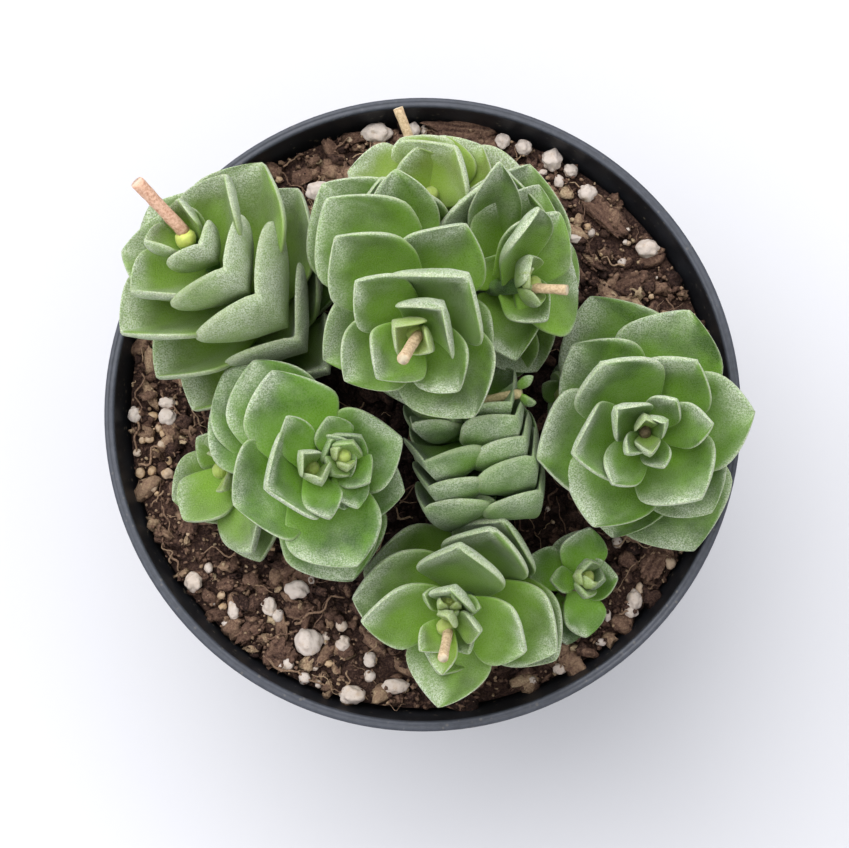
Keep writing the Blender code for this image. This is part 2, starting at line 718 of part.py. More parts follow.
def settle(trees):
    """Chooses each leaf's bend so that no leaf reaches another node's leaf, stem, pot or soil."""
    order = []
    for node, shoots in SHOOTS.items():
        for shoot in shoots:
            order.extend((not blade.seen, -blade.tip.z, node, blade) for blade in blades_of(shoot))
    order.sort(key=lambda entry: entry[:2])
    placed = {node: [] for node in SHOOTS}
    fixed = {node: [tree for owner, tree in trees if owner != node] for node in SHOOTS}
    taken = []
    for _, _, node, blade in order:
        for bend in BENDS:
            trial = blade.bent(*bend)
            middle = (trial.base + trial.tip) / 2
            size = (trial.tip - trial.base).length / 2 + trial.width / 2
            near = [
                tree for owner, centre, radius, tree in taken
                if owner != node and (centre - middle).length < radius + size]
            tree = tree_of(lambda bm: trial.fill(bm, grow=GAP))
            if any(tree.overlap(other) for other in fixed[node] + near):
                continue
            placed[node].append(trial)
            taken.append((node, middle, size, tree_of(trial.fill)))
            break
    return placed


def fill_bud(bm, place):
    """Fills a mesh with the small round bud at a stem's tip."""
    bmesh.ops.create_uvsphere(bm, u_segments=6, v_segments=4, radius=BUD_RADIUS)
    bmesh.ops.translate(bm, verts=bm.verts, vec=place)


def make_bare_stem(name, lines, collection, joined):
    """The stem of one plant with its branches, each with a bud at its tip, in one body."""
    stem = None
    for line in lines:
        points = line.knots()
        spread = [step / (len(points) - 1) for step in range(len(points))]
        radii = [STEM_RADIUS + (STEM_TIP_RADIUS - STEM_RADIUS) * share for share in spread]
        piece = tube(name, points, radii, joined if stem else collection)
        stem = stem or piece
        solid("bud", lambda bm: fill_bud(bm, line.tip), joined)
    combine(stem, joined, "UNION")
    return stem


def add_leaves(stem, blades, joined, stalks):
    """Joins the leaves to their stem, and cuts a hole for each dry stalk."""
    for blade in blades:
        solid("leaf", blade.fill, joined)
    combine(stem, joined, "UNION")
    for start, end in stalks:
        way = (end - start).normalized()
        tube("hole", (start - way * GAP, end + way * GAP), (STALK_RADIUS + GAP,) * 2, joined)
    if stalks:
        combine(stem, joined, "DIFFERENCE")
    finish(stem, stem.name + "_green", (0.16, 0.29, 0.07), 0.5)


def make_stalk(name, start, end, collection, joined, bracts):
    """Dry stub of a flower stalk, with its withered bracts where it has them."""
    way = (end - start).normalized()
    middle = start.lerp(end, 0.5) + Vector((0.0, 0.0, STALK_SAG))
    radii = (STALK_RADIUS * STALK_WAIST, STALK_RADIUS * STALK_WAIST, STALK_RADIUS)
    stalk = tube(name, (start, middle, end), radii, collection)
    for base, tip in bracts:
        bract = Blade(
            seen_at(*base), seen_at(*tip), way, BRACT_WIDTH, Shoot.cup, Shoot.fold, Shoot.sag, True)
        solid("bract", bract.fill, joined)
    if bracts:
        combine(stalk, joined, "UNION")
    finish(stalk, name + "_tan", (0.47, 0.33, 0.19), 0.8)
    return stalk


def main():
    """Builds the pot, the soil, the leafy stems and the dry stalks."""
    for obj in list(bpy.data.objects):
        bpy.data.objects.remove(obj)
    scene = bpy.context.scene.collection
    collection = bpy.data.collections.new("potted_crassula")
    cutters = bpy.data.collections.new("cutters")
    scene.children.link(collection)
    scene.children.link(cutters)
    lines = {name: [StemLine(shoot) for shoot in shoots] for name, shoots in SHOOTS.items()}
    rooted = [line for group in lines.values() for line in group if line.rooted]
    pieces = [make_pot(collection, cutters), make_soil(collection, cutters, rooted)]
    stems = {name: make_bare_stem(name, lines[name], collection, cutters) for name in SHOOTS}
    pieces.extend(stems.values())
    placed = settle([(obj.name, tree_of(lambda bm: bm.from_mesh(obj.data))) for obj in pieces])
    for name, shoots in SHOOTS.items():
        stalks = [tuple(seen_at(*place) for place in shoot.stalk) for shoot in shoots if shoot.stalk]
        add_leaves(stems[name], placed[name], cutters, stalks)
        bracts = BRACTS if name == "stem_middle" else ()
        for start, end in stalks:
            stalk = name.replace("stem", "stalk")
            pieces.append(make_stalk(stalk, start, end, collection, cutters, bracts))
    centre = link("pot_centre", None, collection)
    for piece in pieces:
        piece.parent = centre
    bpy.data.collections.remove(cutters)


main()
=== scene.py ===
"""Looks of the potted crassula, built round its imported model.

The plant, the compost and the pot are classes that model their pieces in the model's own frame
and give them their finish. Where a leaf tip, a root or a grain lies was measured in the
photograph, and PhotoView turns such a place into one in the model.
"""
import logging
import math
import random
from collections.abc import Callable, Iterable, Sequence
from dataclasses import dataclass, field, replace
from enum import Enum

import bmesh
import bpy
from bmesh.types import BMEdge, BMesh, BMFace, BMLayerItem, BMVert
from bpy.types import Material, NodeSocket, Object
from mathutils import Matrix, Vector, noise
from mathutils.bvhtree import BVHTree

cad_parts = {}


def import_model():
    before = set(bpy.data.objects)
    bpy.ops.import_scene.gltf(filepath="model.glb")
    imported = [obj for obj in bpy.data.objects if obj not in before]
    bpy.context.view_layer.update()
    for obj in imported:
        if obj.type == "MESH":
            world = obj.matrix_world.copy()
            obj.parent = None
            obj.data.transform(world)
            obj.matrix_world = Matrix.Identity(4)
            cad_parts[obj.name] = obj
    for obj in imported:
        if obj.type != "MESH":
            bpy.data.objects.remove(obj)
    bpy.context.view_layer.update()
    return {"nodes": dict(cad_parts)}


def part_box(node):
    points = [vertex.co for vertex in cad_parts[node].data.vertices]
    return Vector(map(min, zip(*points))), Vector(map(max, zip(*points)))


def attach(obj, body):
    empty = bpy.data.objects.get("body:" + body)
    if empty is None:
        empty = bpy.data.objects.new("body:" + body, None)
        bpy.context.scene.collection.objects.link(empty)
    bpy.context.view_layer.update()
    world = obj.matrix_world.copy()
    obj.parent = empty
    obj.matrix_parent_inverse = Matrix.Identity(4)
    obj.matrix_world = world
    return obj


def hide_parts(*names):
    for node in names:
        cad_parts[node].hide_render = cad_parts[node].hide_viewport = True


LOG = logging.getLogger("potted_crassula")
MM = 0.001
BODY = "root"
Colour = tuple[float, float, float]
Span = tuple[float, float]


class Slot(Enum):
    """Names of material slots."""
    PLASTIC = "black_plastic"
    COMPOST = "compost"
    LEAF = "leaf_green"
    STALK = "dry_stalk"


# Up to this value, the standard curve of a screen is a straight line
DARKEST = 10


def srgb(red: int, green: int, blue: int) -> Colour:
    """Turns a colour as a screen shows it, 0 to 255, into a linear one by the standard curve.

    Args:
        red: Red, 0 to 255.
        green: Green, 0 to 255.
        blue: Blue, 0 to 255.

    Returns:
        The linear colour.
    """
    return tuple(
        ((value / 255 + 0.055) / 1.055) ** 2.4 if value > DARKEST else value / 255 / 12.92
        for value in (red, green, blue))


def clamp(value: float, low: float = 0.0, high: float = 1.0) -> float:
    """Holds a value between two others."""
    return min(max(value, low), high)


def ease(value: float, span: Span) -> float:
    """Smooth step from 0 to 1.

    Args:
        value: The value to place on the step.
        span: Where the step starts and where it ends.

    Returns:
        A share from 0 to 1.
    """
    low, high = span
    share = clamp((value - low) / (high - low))
    return share * share * (3 - 2 * share)


def add_object(name: str, data: bpy.types.ID) -> Object:
    """Adds an object with its data to the scene."""
    thing = bpy.data.objects.new(name, data)
    bpy.context.scene.collection.objects.link(thing)
    return thing


@dataclass(frozen=True)
class PhotoView:
    """The photograph's view of the pot."""
    centre: tuple[float, float] = (424.5, 424.0)
    width: float = 849.0
    focus: float = 2481.0
    distance: float = 420.0 * MM
    elevation: float = math.radians(84.5)
    aim: tuple[float, float, float] = (0.3 * MM, -2.3 * MM, 85.0 * MM)
    sensor: float = 36.0
    near: float = 10.0 * MM

    def back(self) -> Vector:
        """Direction from the aim to the eye."""
        return Vector((0.0, -math.cos(self.elevation), math.sin(self.elevation)))

    def eye(self) -> Vector:
        """Place of the eye."""
        return Vector(self.aim) + self.back() * self.distance

    def place(self, x: float, y: float, rise: float) -> Vector:
        """Finds the point of the model that the picture shows at a pixel.

        Args:
            x: Pixels from the picture's left edge.
            y: Pixels from the picture's top edge.
            rise: Height over the pot's rim in mm.

        Returns:
            The point, in metres.
        """
        up = Vector((0.0, math.sin(self.elevation), math.cos(self.elevation)))
        across = (x - self.centre[0]) / self.focus
        above = (self.centre[1] - y) / self.focus
        sight = Vector((across, 0.0, 0.0)) + up * above - self.back()
        eye = self.eye()
        return eye + sight * ((self.aim[2] + rise * MM - eye.z) / sight.z)

    def camera(self) -> None:
        """Adds the camera that sees what the photograph's camera saw."""
        data = bpy.data.cameras.new("photo_camera")
        data.sensor_width = self.sensor
        data.lens = self.focus * self.sensor / self.width
        data.clip_start = self.near
        camera = add_object("photo_camera", data)
        camera.location = self.eye()
        camera.rotation_euler = self.back().to_track_quat("Z", "Y").to_euler()
        bpy.context.scene.camera = camera


VIEW = PhotoView()


@dataclass(frozen=True)
class PotSizes:
    """Real sizes of the nursery pot."""
    height: float = 85.0 * MM
    rim_diameter: float = 108.0 * MM
    base_diameter: float = 78.0 * MM
    rim_width: float = 1.8 * MM
    collar_height: float = 11.0 * MM
    collar_step: float = 1.3 * MM
    collar_taper: float = 0.4 * MM
    wall: float = 1.6 * MM
    wall_taper: float = 0.6 * MM
    floor: float = 2.0 * MM
    edge_round: float = 0.5 * MM
    drain_holes: int = 8
    drain_diameter: float = 8.0 * MM
    drain_circle: float = 27.0 * MM

    def body_radius(self, height: float) -> float:
        """Radius of the outside of the body at a height."""
        foot = self.base_diameter / 2
        return foot + (self.rim_diameter / 2 - self.collar_step - foot) * height / self.height

    def wall_radius(self, height: float) -> float:
        """Radius of the inner wall at a height."""
        return self.body_radius(height) - self.wall + self.wall_taper * height / self.height


POT = PotSizes()


@dataclass(frozen=True)
class SoilSizes:
    """Real sizes of the plug of compost."""
    depth: float = 6.0 * MM
    gap: float = 0.3 * MM
    wall_gap: float = 0.48 * MM
    relief: float = 1.6 * MM
    mound: float = 22.0 * MM
    mound_share: float = 0.8
    grain: float = 6.0 * MM
    grain_share: float = 0.5
    root_length: float = 12.0 * MM

    def level(self, x: float, y: float) -> float:
        """Finds the height of the surface.

        Args:
            x: X of the place.
            y: Y of the place.

        Returns:
            The height there, in metres.
        """
        mound = noise.noise(Vector((x, y, 0.0)) / self.mound) * self.mound_share
        grain = noise.noise(Vector((x, y, self.grain)) / self.grain) * self.grain_share
        return POT.height - self.depth + self.relief * (mound + grain)

    def radius(self) -> float:
        """Radius of the surface."""
        return POT.wall_radius(POT.height - self.depth) - self.wall_gap


SOIL = SoilSizes()


@dataclass(frozen=True)
class Shoot:
    """One leafy shoot, measured in the photograph.

    A place is (x, y, height over the rim in mm), and a leaf tip may add its width in mm, its
    cup and its sag. Pairs of leaves are crossed, from the tip down, and None mirrors the other leaf.
    A stalk and each bract have a start and an end.
    """
    tip: tuple[float, ...]
    lean: float
    heading: float
    root: tuple[float, ...]
    pairs: tuple
    gap: float = 3.6
    first: float = 0.8
    ramp: float = 2.0
    slender: float = 0.86
    cup: float = 0.4
    fold: float = 1.4
    sag: float = 0.07
    root_lean: float = 0.0
    hidden: int = 2
    stalk: tuple = ()
    bracts: tuple = ()


SHOOTS = {
    "stem_upper_left": (Shoot(
        tip=(187, 240, 30), lean=42, heading=140, root=(296, 352), gap=4.4, root_lean=30, cup=0.8,
        fold=1.15, sag=0.12, hidden=1, stalk=((184, 232, 31), (137, 182, 38)), pairs=(
            (None, None),
            ((144, 240, 33), (177, 199, 33)),
            ((199, 244, 36, 10, 0.8, 0.15), (166, 207, 28)),
            ((130, 291, 29), (225, 174, 31)),
            ((224, 268, 36, 18, 0.8, 0.18), (121, 252, 19)),
            ((120, 332, 22), (262, 162, 24)),
            ((256, 294, 32, 23, 0.85, 0.24), (150, 205, 10)),
            ((156, 377, 13), (298, 188, 15)),
            ((296, 338, 22, 21, 0.85, 0.15), None),
            ((192, 410, 4), None))),),
    "stem_top_middle": (Shoot(
        tip=(415, 332, 42), lean=30, heading=265, root=(412, 262), gap=4.6, root_lean=20, cup=0.55,
        fold=1.3, stalk=((418, 335, 43), (403, 359, 51)), pairs=(
            ((430, 352, 46, 5, 0.8), (394, 327, 47, 7, 0.9)),
            ((377, 379, 43, 10.5), (442, 309, 48, 12, 0.8, 0.15)),
            ((355, 282, 46), (459, 392, 40)),
            ((344, 381, 36), (468, 277, 47, 17.5, 0.7, 0.1)),
            ((335, 237, 41), (474, 418, 33)),
            ((323, 360, 26), (466, 224, 37)),
            ((326, 198, 31), (489, 372, 24)),
            ((395, 169, 29, 12, 0.3), None))),),
    "stem_top_right": (Shoot(
        tip=(532, 285, 27), lean=58, heading=0, root=(472, 292), gap=3.9, root_lean=25, cup=0.8,
        fold=1.2, hidden=1, stalk=((533, 288, 28), (567, 290, 31)), pairs=(
            ((529, 272, 32, 3.5, 0.5), (531, 288, 29)),
            ((532, 256, 32), (541, 304, 29)),
            ((540, 208, 37, 9, 0.6, 0.1), (578, 288, 16, 17, 0.4)),
            ((560, 212, 26), (548, 320, 24)),
            ((476, 262, 19, 8, 0.6), (572, 245, 9, 15, 0.4)),
            ((539, 184, 22), (516, 361, 18, 12, 0.9)),
            ((500, 161, 33, 9, 0.6, 0.08), (500, 384, 3, 13)),
            ((500, 158, 16), (537, 372, 6)))),),
    "stem_top": (Shoot(
        tip=(432, 196, 12), lean=20, heading=110, root=(448, 214), gap=1.6, root_lean=20, cup=0.3,
        sag=0.04, hidden=0, stalk=((429, 190, 8), (398, 108, 13)), pairs=(
            ((348, 171, 19, 14), (454, 146, 20, 15, 0.5)),
            ((400, 138, 15, 15), (417, 147, 18, 10)),
            ((445, 135, 13, 13), None),
            ((345, 192, 8), (482, 145, 13, 15)),
            (None, (525, 172, 8, 14)))),),
    "stem_right": (Shoot(
        tip=(645, 432, 26), lean=8, heading=-80, root=(640, 425), gap=2.5, cup=0.28, fold=1.6,
        sag=0.1, hidden=0, pairs=(
            ((651, 453, 32, 4, 0.8), (646, 419, 32, 4, 0.8)),
            ((665, 423, 32, 4.5, 0.8), (628, 453, 32, 4, 0.8)),
            ((664, 467, 29, 5), (617, 409, 33, 8, 0.8)),
            ((613, 484, 30, 7.5), (676, 400, 30, 6)),
            ((713, 424, 29, 7.5), (573, 453, 30, 13, 0.6)),
            ((701, 499, 25), (602, 364, 30, 16, 0.2)),
            ((697, 361, 25), (593, 527, 19)),
            ((755, 412, 19), (537, 458, 20)),
            ((712, 513, 11), (572, 345, 16)),
            ((690, 310, 13), (612, 538, 6)),
            (None, (590, 296, 6)))),),
    "stem_right_small": (Shoot(
        tip=(563, 396, -2), lean=15, heading=180, root=(582, 402), gap=2.0, hidden=0, pairs=(
            ((556, 402, 1), (568, 390, 1)),
            ((555, 372, 1), (562, 420, 0)),
            ((542, 385, -2), (575, 385, 0)),
            ((548, 415, -3), (560, 362, -3)))),),
    "stem_left": (
        Shoot(
            tip=(312, 470, 30), lean=12, heading=-10, root=(306, 464), gap=3.0, hidden=1, pairs=(
                ((303, 453, 37, 5, 0.9), (322, 479, 36, 5, 0.9)),
                ((330, 519, 33, 6.5), (287, 416, 34, 6.5)),
                ((266, 488, 33, 15, 0.7), (356, 444, 31)),
                ((272, 370, 29, 16), (357, 567, 25, 16)),
                ((233, 505, 25, 18, 0.7), (403, 439, 27)),
                ((253, 360, 21), (352, 580, 16)),
                ((212, 405, 14), (405, 492, 18)))),
        Shoot(
            tip=(343, 457, 30), lean=15, heading=20, root=(318, 468, 14), gap=1.4, slender=0.7,
            hidden=0, pairs=(
                ((337, 449, 33, 3), (349, 466, 33, 3)),
                ((353, 443, 33, 5), (333, 474, 32, 5)),
                ((358, 509, 29, 6.5), (329, 416, 31, 7)),
                ((370, 482, 30, 7), (331, 440, 31, 6)),
                ((361, 436, 30, 7), (345, 510, 27, 6))))),
    "stem_left_low": (Shoot(
        tip=(222, 470, 4), lean=40, heading=195, root=(262, 466), gap=3.0, root_lean=10, cup=0.35,
        hidden=0, pairs=(
            ((212, 455, 10), (222, 490, 9)),
            ((214, 432, 8), (252, 553, 8)),
            ((183, 520, 4), (247, 425, 6)),
            ((196, 438, 2), (260, 562, 1)),
            ((172, 500, -2), None),
            ((280, 580, 0), (265, 585, -3)))),),
    "stem_middle": (Shoot(
        tip=(462, 405, 14), lean=70, heading=105, root=(500, 534), gap=2.2, first=0.5, ramp=1.2,
        root_lean=5, cup=0.8, fold=1.2, sag=0.25, hidden=0, stalk=((466, 405, 17), (522, 393, 20)),
        bracts=(((519, 388, 20), (533, 376, 23)), ((520, 394, 20), (536, 404, 21))),
        pairs=(
            ((451, 417, 22, 6, 0.6, 0.1), None),
            ((511, 402, 23, 11, 0.7, 0.15), None),
            ((412, 424, 21, 9, 0.6, 0.15), None),
            ((516, 416, 23, 14), None),
            ((424, 461, 22, 14), None),
            ((524, 436, 21, 14), None),
            ((428, 487, 19, 14), None),
            ((533, 456, 19, 15), None),
            ((424, 508, 16, 15), None),
            ((540, 490, 15, 15), None),
            ((440, 526, 10, 13), None),
            ((556, 538, 8, 14, 0.6, 0.1), None))),),
    "stem_bottom": (
        Shoot(
            tip=(446, 626, 20), lean=34, heading=228, root=(487, 574), gap=4.4, root_lean=8,
            cup=0.45, slender=0.8, hidden=0, stalk=((448, 632, 21), (443, 658, 28)), pairs=(
                ((447, 616, 26), (442, 675, 21)),
                ((420, 651, 22), (480, 632, 24)),
                ((450, 590, 27, 8), (468, 654, 19)),
                ((361, 622, 20, 11), (526, 652, 18, 11.5)),
                ((458, 546, 25, 15), (438, 708, 10, 14)),
                ((352, 599, 12), (557, 652, 11)),
                ((492, 530, 19), None),
                ((363, 573, 6), (572, 641, 5)),
                ((507, 511, 12), None))),
        Shoot(
            tip=(449, 602, 20), lean=15, heading=90, root=(455, 612, 10), gap=1.6, slender=0.7,
            hidden=0, pairs=(
                ((441, 602, 24), (457, 602, 24)),
                ((448, 616, 24), (449, 590, 25)),
                ((480, 607, 22), (424, 594, 22))))),
    "stem_bottom_right": (Shoot(
        tip=(586, 578, 4), lean=20, heading=15, root=(566, 588), gap=2.2, cup=0.45, hidden=1,
        pairs=(
            ((580, 574, 8), (593, 582, 8)),
            ((592, 562, 8), (588, 596, 7)),
            ((551, 580, 5), (604, 578, 6)),
            ((590, 527, 2), (586, 638, -1)),
            ((523, 568, 0), (618, 577, 1)))),),
    "stem_upper_small": (Shoot(
        tip=(312, 250, 4), lean=30, heading=175, root=(338, 262), gap=2.4, hidden=0, pairs=(
            ((306, 248, 8), (318, 256, 8)),
            ((317, 212, 6), (303, 285, 5)),
            ((289, 262, 3), None),
            ((312, 318, 4), (300, 240, 0)))),),
}


@dataclass(frozen=True)
class StemSizes:
    """Real sizes of the stems and of the dry stalks."""
    radius: float = 2.0 * MM
    tip_radius: float = 1.1 * MM
    bud_radius: float = 1.5 * MM
    knots: int = 6
    steps: int = 100
    sweep: float = 0.9
    stalk_radius: float = 0.85 * MM
    stalk_waist: float = 0.9
    stalk_sag: float = 0.15 * MM


STEM = StemSizes()


def leaning(angle: float, heading: float) -> Vector:
    """Unit vector that leans from the vertical towards a heading.

    Args:
        angle: Lean from the vertical in degrees.
        heading: Compass direction in degrees, 0 along X and 90 along Y.

    Returns:
        The unit vector.
    """
    lean = math.radians(angle)
    turn = math.radians(heading)
    return Vector((math.sin(lean) * math.cos(turn), math.sin(lean) * math.sin(turn), math.cos(lean)))


class StemLine:
    """The curved centre line of a shoot, measured from its tip."""

    def __init__(self, shoot: Shoot) -> None:
        """Draws the line from root to tip.

        Args:
            shoot: The shoot that it carries.
        """
        self.rooted = len(shoot.root) == 2
        root_rise = -SOIL.depth / MM if self.rooted else shoot.root[2]
        self.root = VIEW.place(shoot.root[0], shoot.root[1], root_rise)
        self.root_way = leaning(shoot.root_lean, shoot.heading)
        self.tip = VIEW.place(*shoot.tip)
        self.tip_way = leaning(shoot.lean, shoot.heading)
        sweep = (self.tip - self.root).length * STEM.sweep
        self.points = []
        for step in range(STEM.steps + 1):
            t = step / STEM.steps
            self.points.append(
                self.root * (2 * t ** 3 - 3 * t ** 2 + 1)
                + self.root_way * sweep * (t ** 3 - 2 * t ** 2 + t)
                + self.tip * (3 * t ** 2 - 2 * t ** 3)
                + self.tip_way * sweep * (t ** 3 - t ** 2))
        self.lengths = [0.0]
        for before, after in zip(self.points, self.points[1:]):
            self.lengths.append(self.lengths[-1] + (after - before).length)

    def below_tip(self, distance: float) -> tuple[Vector, Vector]:
        """Finds a place on the line.

        Args:
            distance: Length of line between the tip and the place.

        Returns:
            The point there and the line's direction.
        """
        wanted = max(self.lengths[-1] - distance, STEM.tip_radius / 2)
        for index in range(1, len(self.points)):
            if self.lengths[index] >= wanted:
                break
        span = self.lengths[index] - self.lengths[index - 1]
        share = (wanted - self.lengths[index - 1]) / span
        way = (self.points[index] - self.points[index - 1]).normalized()
        return self.points[index - 1].lerp(self.points[index], share), way

    def add_stem(self, bm: BMesh, knots: int, sides: int,
                 knock: Callable[[Vector], float] | None = None) -> list[BMVert]:
        """Adds the stem along the line, from its root in the soil to its tip.

        Args:
            bm: Mesh to add to.
            knots: Number of points along the line.
            sides: Number of sides.
            knock: As add_tube has it.

        Returns:
            The stem's vertices.
        """
        points = [self.root - self.root_way * SOIL.root_length] if self.rooted else []
        stride = STEM.steps / (knots - 1)
        points += [self.points[round(step * stride)] for step in range(knots)]
        last = len(points) - 1
        radii = [
            STEM.radius + (STEM.tip_radius - STEM.radius) * index / last
            for index in range(len(points))]
        return add_tube(bm, points, radii, sides, knock)


@dataclass(frozen=True)
class LeafForm:
    """Proportions that all leaves share."""
    thickness: float = 0.9 * MM
    thickness_per_width: float = 0.085
    seat: float = 0.55 * MM
    fine_width: float = 9.0 * MM
    widest: float = 0.58
    base_share: float = 0.24
    base_curve: float = 1.25
    tip_curve: float = 1.8
    tip_bluntness: float = 0.85
    base_cup: float = 0.35
    fullness: float = 0.35
    inner_share: float = 0.42
    outer_share: float = 0.58
    sides: int = 6
    rings: int = 3
    wide_rings: int = 4
    pole: float = 0.01
    spread: float = 1.16
    even_spacing: float = 0.4
    young_narrowing: float = 0.22
    young_ranks: float = 1.6
    young_gap: float = 0.3
    hidden_rise: float = 0.75
    hidden_reach: float = 1.05
    narrowing: float = 0.6

    def outline(self, along: float, base: float, curve: float, bluntness: float) -> float:
        """Half width as a share of the widest.

        Args:
            along: Share of the length.
            base: Half width at the base, as a share of the widest.
            curve: Power of the curve towards the tip.
            bluntness: Power that rounds the tip, rounder below 1.

        Returns:
            The share.
        """
        if along < self.widest:
            opening = math.sin(along / self.widest * math.pi / 2) ** self.base_curve
            return base + (1 - base) * opening
        beyond = (along - self.widest) / (1 - self.widest)
        return max(1 - beyond ** curve, 0.0) ** bluntness


FORM = LeafForm()


@dataclass(frozen=True)
class LeafSkin:
    """How the fine skin of a leaf departs from the plain blade."""
    around: int = 28
    rings: int = 22
    small_around: int = 16
    small_rings: int = 12
    small_length: float = 7 * MM
    pole: float = 0.001
    squareness: float = 0.62
    keel: float = 0.6
    base_share: float = 0.42
    tip_curves: Span = (1.55, 2.1)
    bluntness: float = 0.88
    shoulder_sway: float = 0.07
    twist: float = math.radians(9.0)
    wave: float = 0.05
    least_wave: float = 0.4
    side_wave: float = 0.5
    side_waves: float = 9.0
    side_start: Span = (0.25, 0.6)
    margin_wave: float = 0.4
    margin_waves: float = 7.0
    margin_start: Span = (0.2, 0.6)
    margin_sharpness: int = 3
    swell: float = 0.02
    swell_grain: Span = (3.0, 2.0)
    swell_seed: float = 1.7


SKIN = LeafSkin()


@dataclass(frozen=True)
class LeafBloom:
    """Where the frosted bloom, the green and the pale edge lie on a leaf.

    A span is a pair of shares of the length or of the half width, and the outer face is the one
    that looks away from the stem. The bloom is also widened on the half of a leaf that faces the
    key light, and that widening is painted sheen.
    """
    start: Span = (0.2, 0.6)
    margin: float = 0.74
    outer_least: float = 0.12
    outer_rim: Span = (0.4, 1.0)
    outer_run: Span = (0.35, 0.75)
    outer_tip: Span = (0.48, 0.88)
    inner_least: float = 0.1
    inner_rim: Span = (0.64, 1.0)
    inner_run: Span = (0.3, 0.8)
    inner_tip: Span = (0.66, 1.02)
    cloud: float = 0.4
    cloud_grain: Span = (4.0, 3.0)
    cloud_seed: float = 0.9
    lean: float = 0.16
    # Painted sheen: the next three widen the bloom on the half of each leaf that faces the key light
    key_light_side: tuple[float, float, float] = (-0.85, 0.5, 0.0)
    painted_sheen_margin: float = 0.34
    painted_sheen_run: float = 0.5
    young: Span = (5 * MM, 10 * MM)
    bare: float = 0.5
    tender: float = 0.35
    tender_ranks: float = 0.8
    tender_fade: float = 0.4
    vivid: Span = (0.3, 0.8)
    inner_vivid: float = 0.95
    outer_vivid: float = 0.6
    edge: float = 0.3
    edge_rim: Span = (0.95, 1.0)
    edge_run: Span = (0.15, 0.45)
    edge_tip: Span = (0.97, 1.0)


BLOOM = LeafBloom()


@dataclass(frozen=True)
class Leaf:
    """One leaf: a thick, cupped blade from its base on the stem to its tip."""
    base: Vector
    tip: Vector
    stem_way: Vector
    width: float
    cup: float
    fold: float
    sag: float
    seen: bool
    rank: int

    def axes(self) -> tuple[Vector, Vector, Vector]:
        """Finds the leaf's own directions.

        Returns:
            The chord, the inward direction and the side direction.
        """
        chord = self.tip - self.base
        way = chord.normalized()
        inward = (self.stem_way - way * self.stem_way.dot(way)).normalized()
        return chord, inward, inward.cross(way)

    def thick(self, along: float) -> float:
        """Thickness at a share of the length."""
        bulge = math.sin(math.pi * clamp(along)) ** FORM.fullness
        return (FORM.thickness + FORM.thickness_per_width * self.width) * bulge

    def rise(self, along: float, across: float, half: float) -> float:
        """Height of the middle surface over the chord: the cup less the sag.

        Args:
            along: Share of the length.
            across: Share of the half width.
            half: Half width there.

        Returns:
            The height in metres.
        """
        lift = abs(across) ** self.fold * half * self.cup
        lift *= FORM.base_cup + (1 - FORM.base_cup) * math.sin(along * math.pi / 2)
        return lift - math.sin(math.pi * along) * self.sag * (self.tip - self.base).length

    def plain_point(self, along: float, across: float, face: float) -> Vector:
        """Finds a point on the plain blade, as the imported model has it.

        Args:
            along: Share of the length, 0 at the base and 1 at the tip.
            across: Share of the half width, -1 to 1.
            face: -1 on the outer face to 1 on the inner face.

        Returns:
            The point.
        """
        chord, inward, side = self.axes()
        half = FORM.outline(along, FORM.base_share, FORM.tip_curve, FORM.tip_bluntness)
        half *= self.width / 2
        lift = self.rise(along, across, half)
        lift += self.thick(along) * face * (FORM.inner_share if face > 0 else FORM.outer_share)
        return self.base + chord * along + side * half * across + inward * lift

    def bent(self, lift: float, turn: float, share: float) -> "Leaf":
        """Copies the leaf, bent about its base.

        Args:
            lift: Degrees to raise it by.
            turn: Degrees to turn it round the stem by.
            share: Share of its length to keep.

        Returns:
            The bent leaf.
        """
        chord = self.tip - self.base
        hinge = chord.cross(self.stem_way).normalized()
        chord = Matrix.Rotation(math.radians(lift), 3, hinge) @ chord
        chord = Matrix.Rotation(math.radians(turn), 3, self.stem_way) @ chord
        narrow = self.width * (1 - FORM.narrowing * (1 - share))
        return replace(self, tip=self.base + chord * share, width=narrow)

    def plain_tree(self, grow: float = 0.0) -> BVHTree:
        """Makes the search tree of the plain blade.

        Args:
            grow: How far it is grown all round.

        Returns:
            The tree.
        """
        bm = bmesh.new()
        wide = self.seen and self.width > FORM.fine_width
        rings = FORM.wide_rings if wide else FORM.rings
        made = bmesh.ops.create_uvsphere(bm, u_segments=FORM.sides, v_segments=rings, radius=1.0)
        turn = Matrix.Rotation(math.pi / FORM.sides, 3, "Z")
        bmesh.ops.rotate(bm, verts=made["verts"], matrix=turn)
        for vertex in made["verts"]:
            along, ring = along_sphere(vertex.co)
            pole = ring < FORM.pole
            across = 0.0 if pole else clamp(FORM.spread * vertex.co.x / ring, -1.0)
            point = self.plain_point(along, across, 0.0 if pole else vertex.co.y / ring)
            if grow:
                spine = self.plain_point(0.5 if pole else along, 0.0, 0.0)
                point += (point - spine).normalized() * grow
            vertex.co = point
        return tree_of_bmesh(bm)


def along_sphere(place: Vector) -> tuple[float, float]:
    """Reads a point of the unit sphere as a place along a leaf.

    Args:
        place: The point, Z along the leaf.

    Returns:
        The share of the leaf's length, and the point's distance from the axis.
    """
    polar = math.acos(clamp(-place.z, -1.0))
    even = FORM.even_spacing
    along = even * polar / math.pi + (1 - even) * (1 - math.cos(polar)) / 2
    return along, place.xy.length


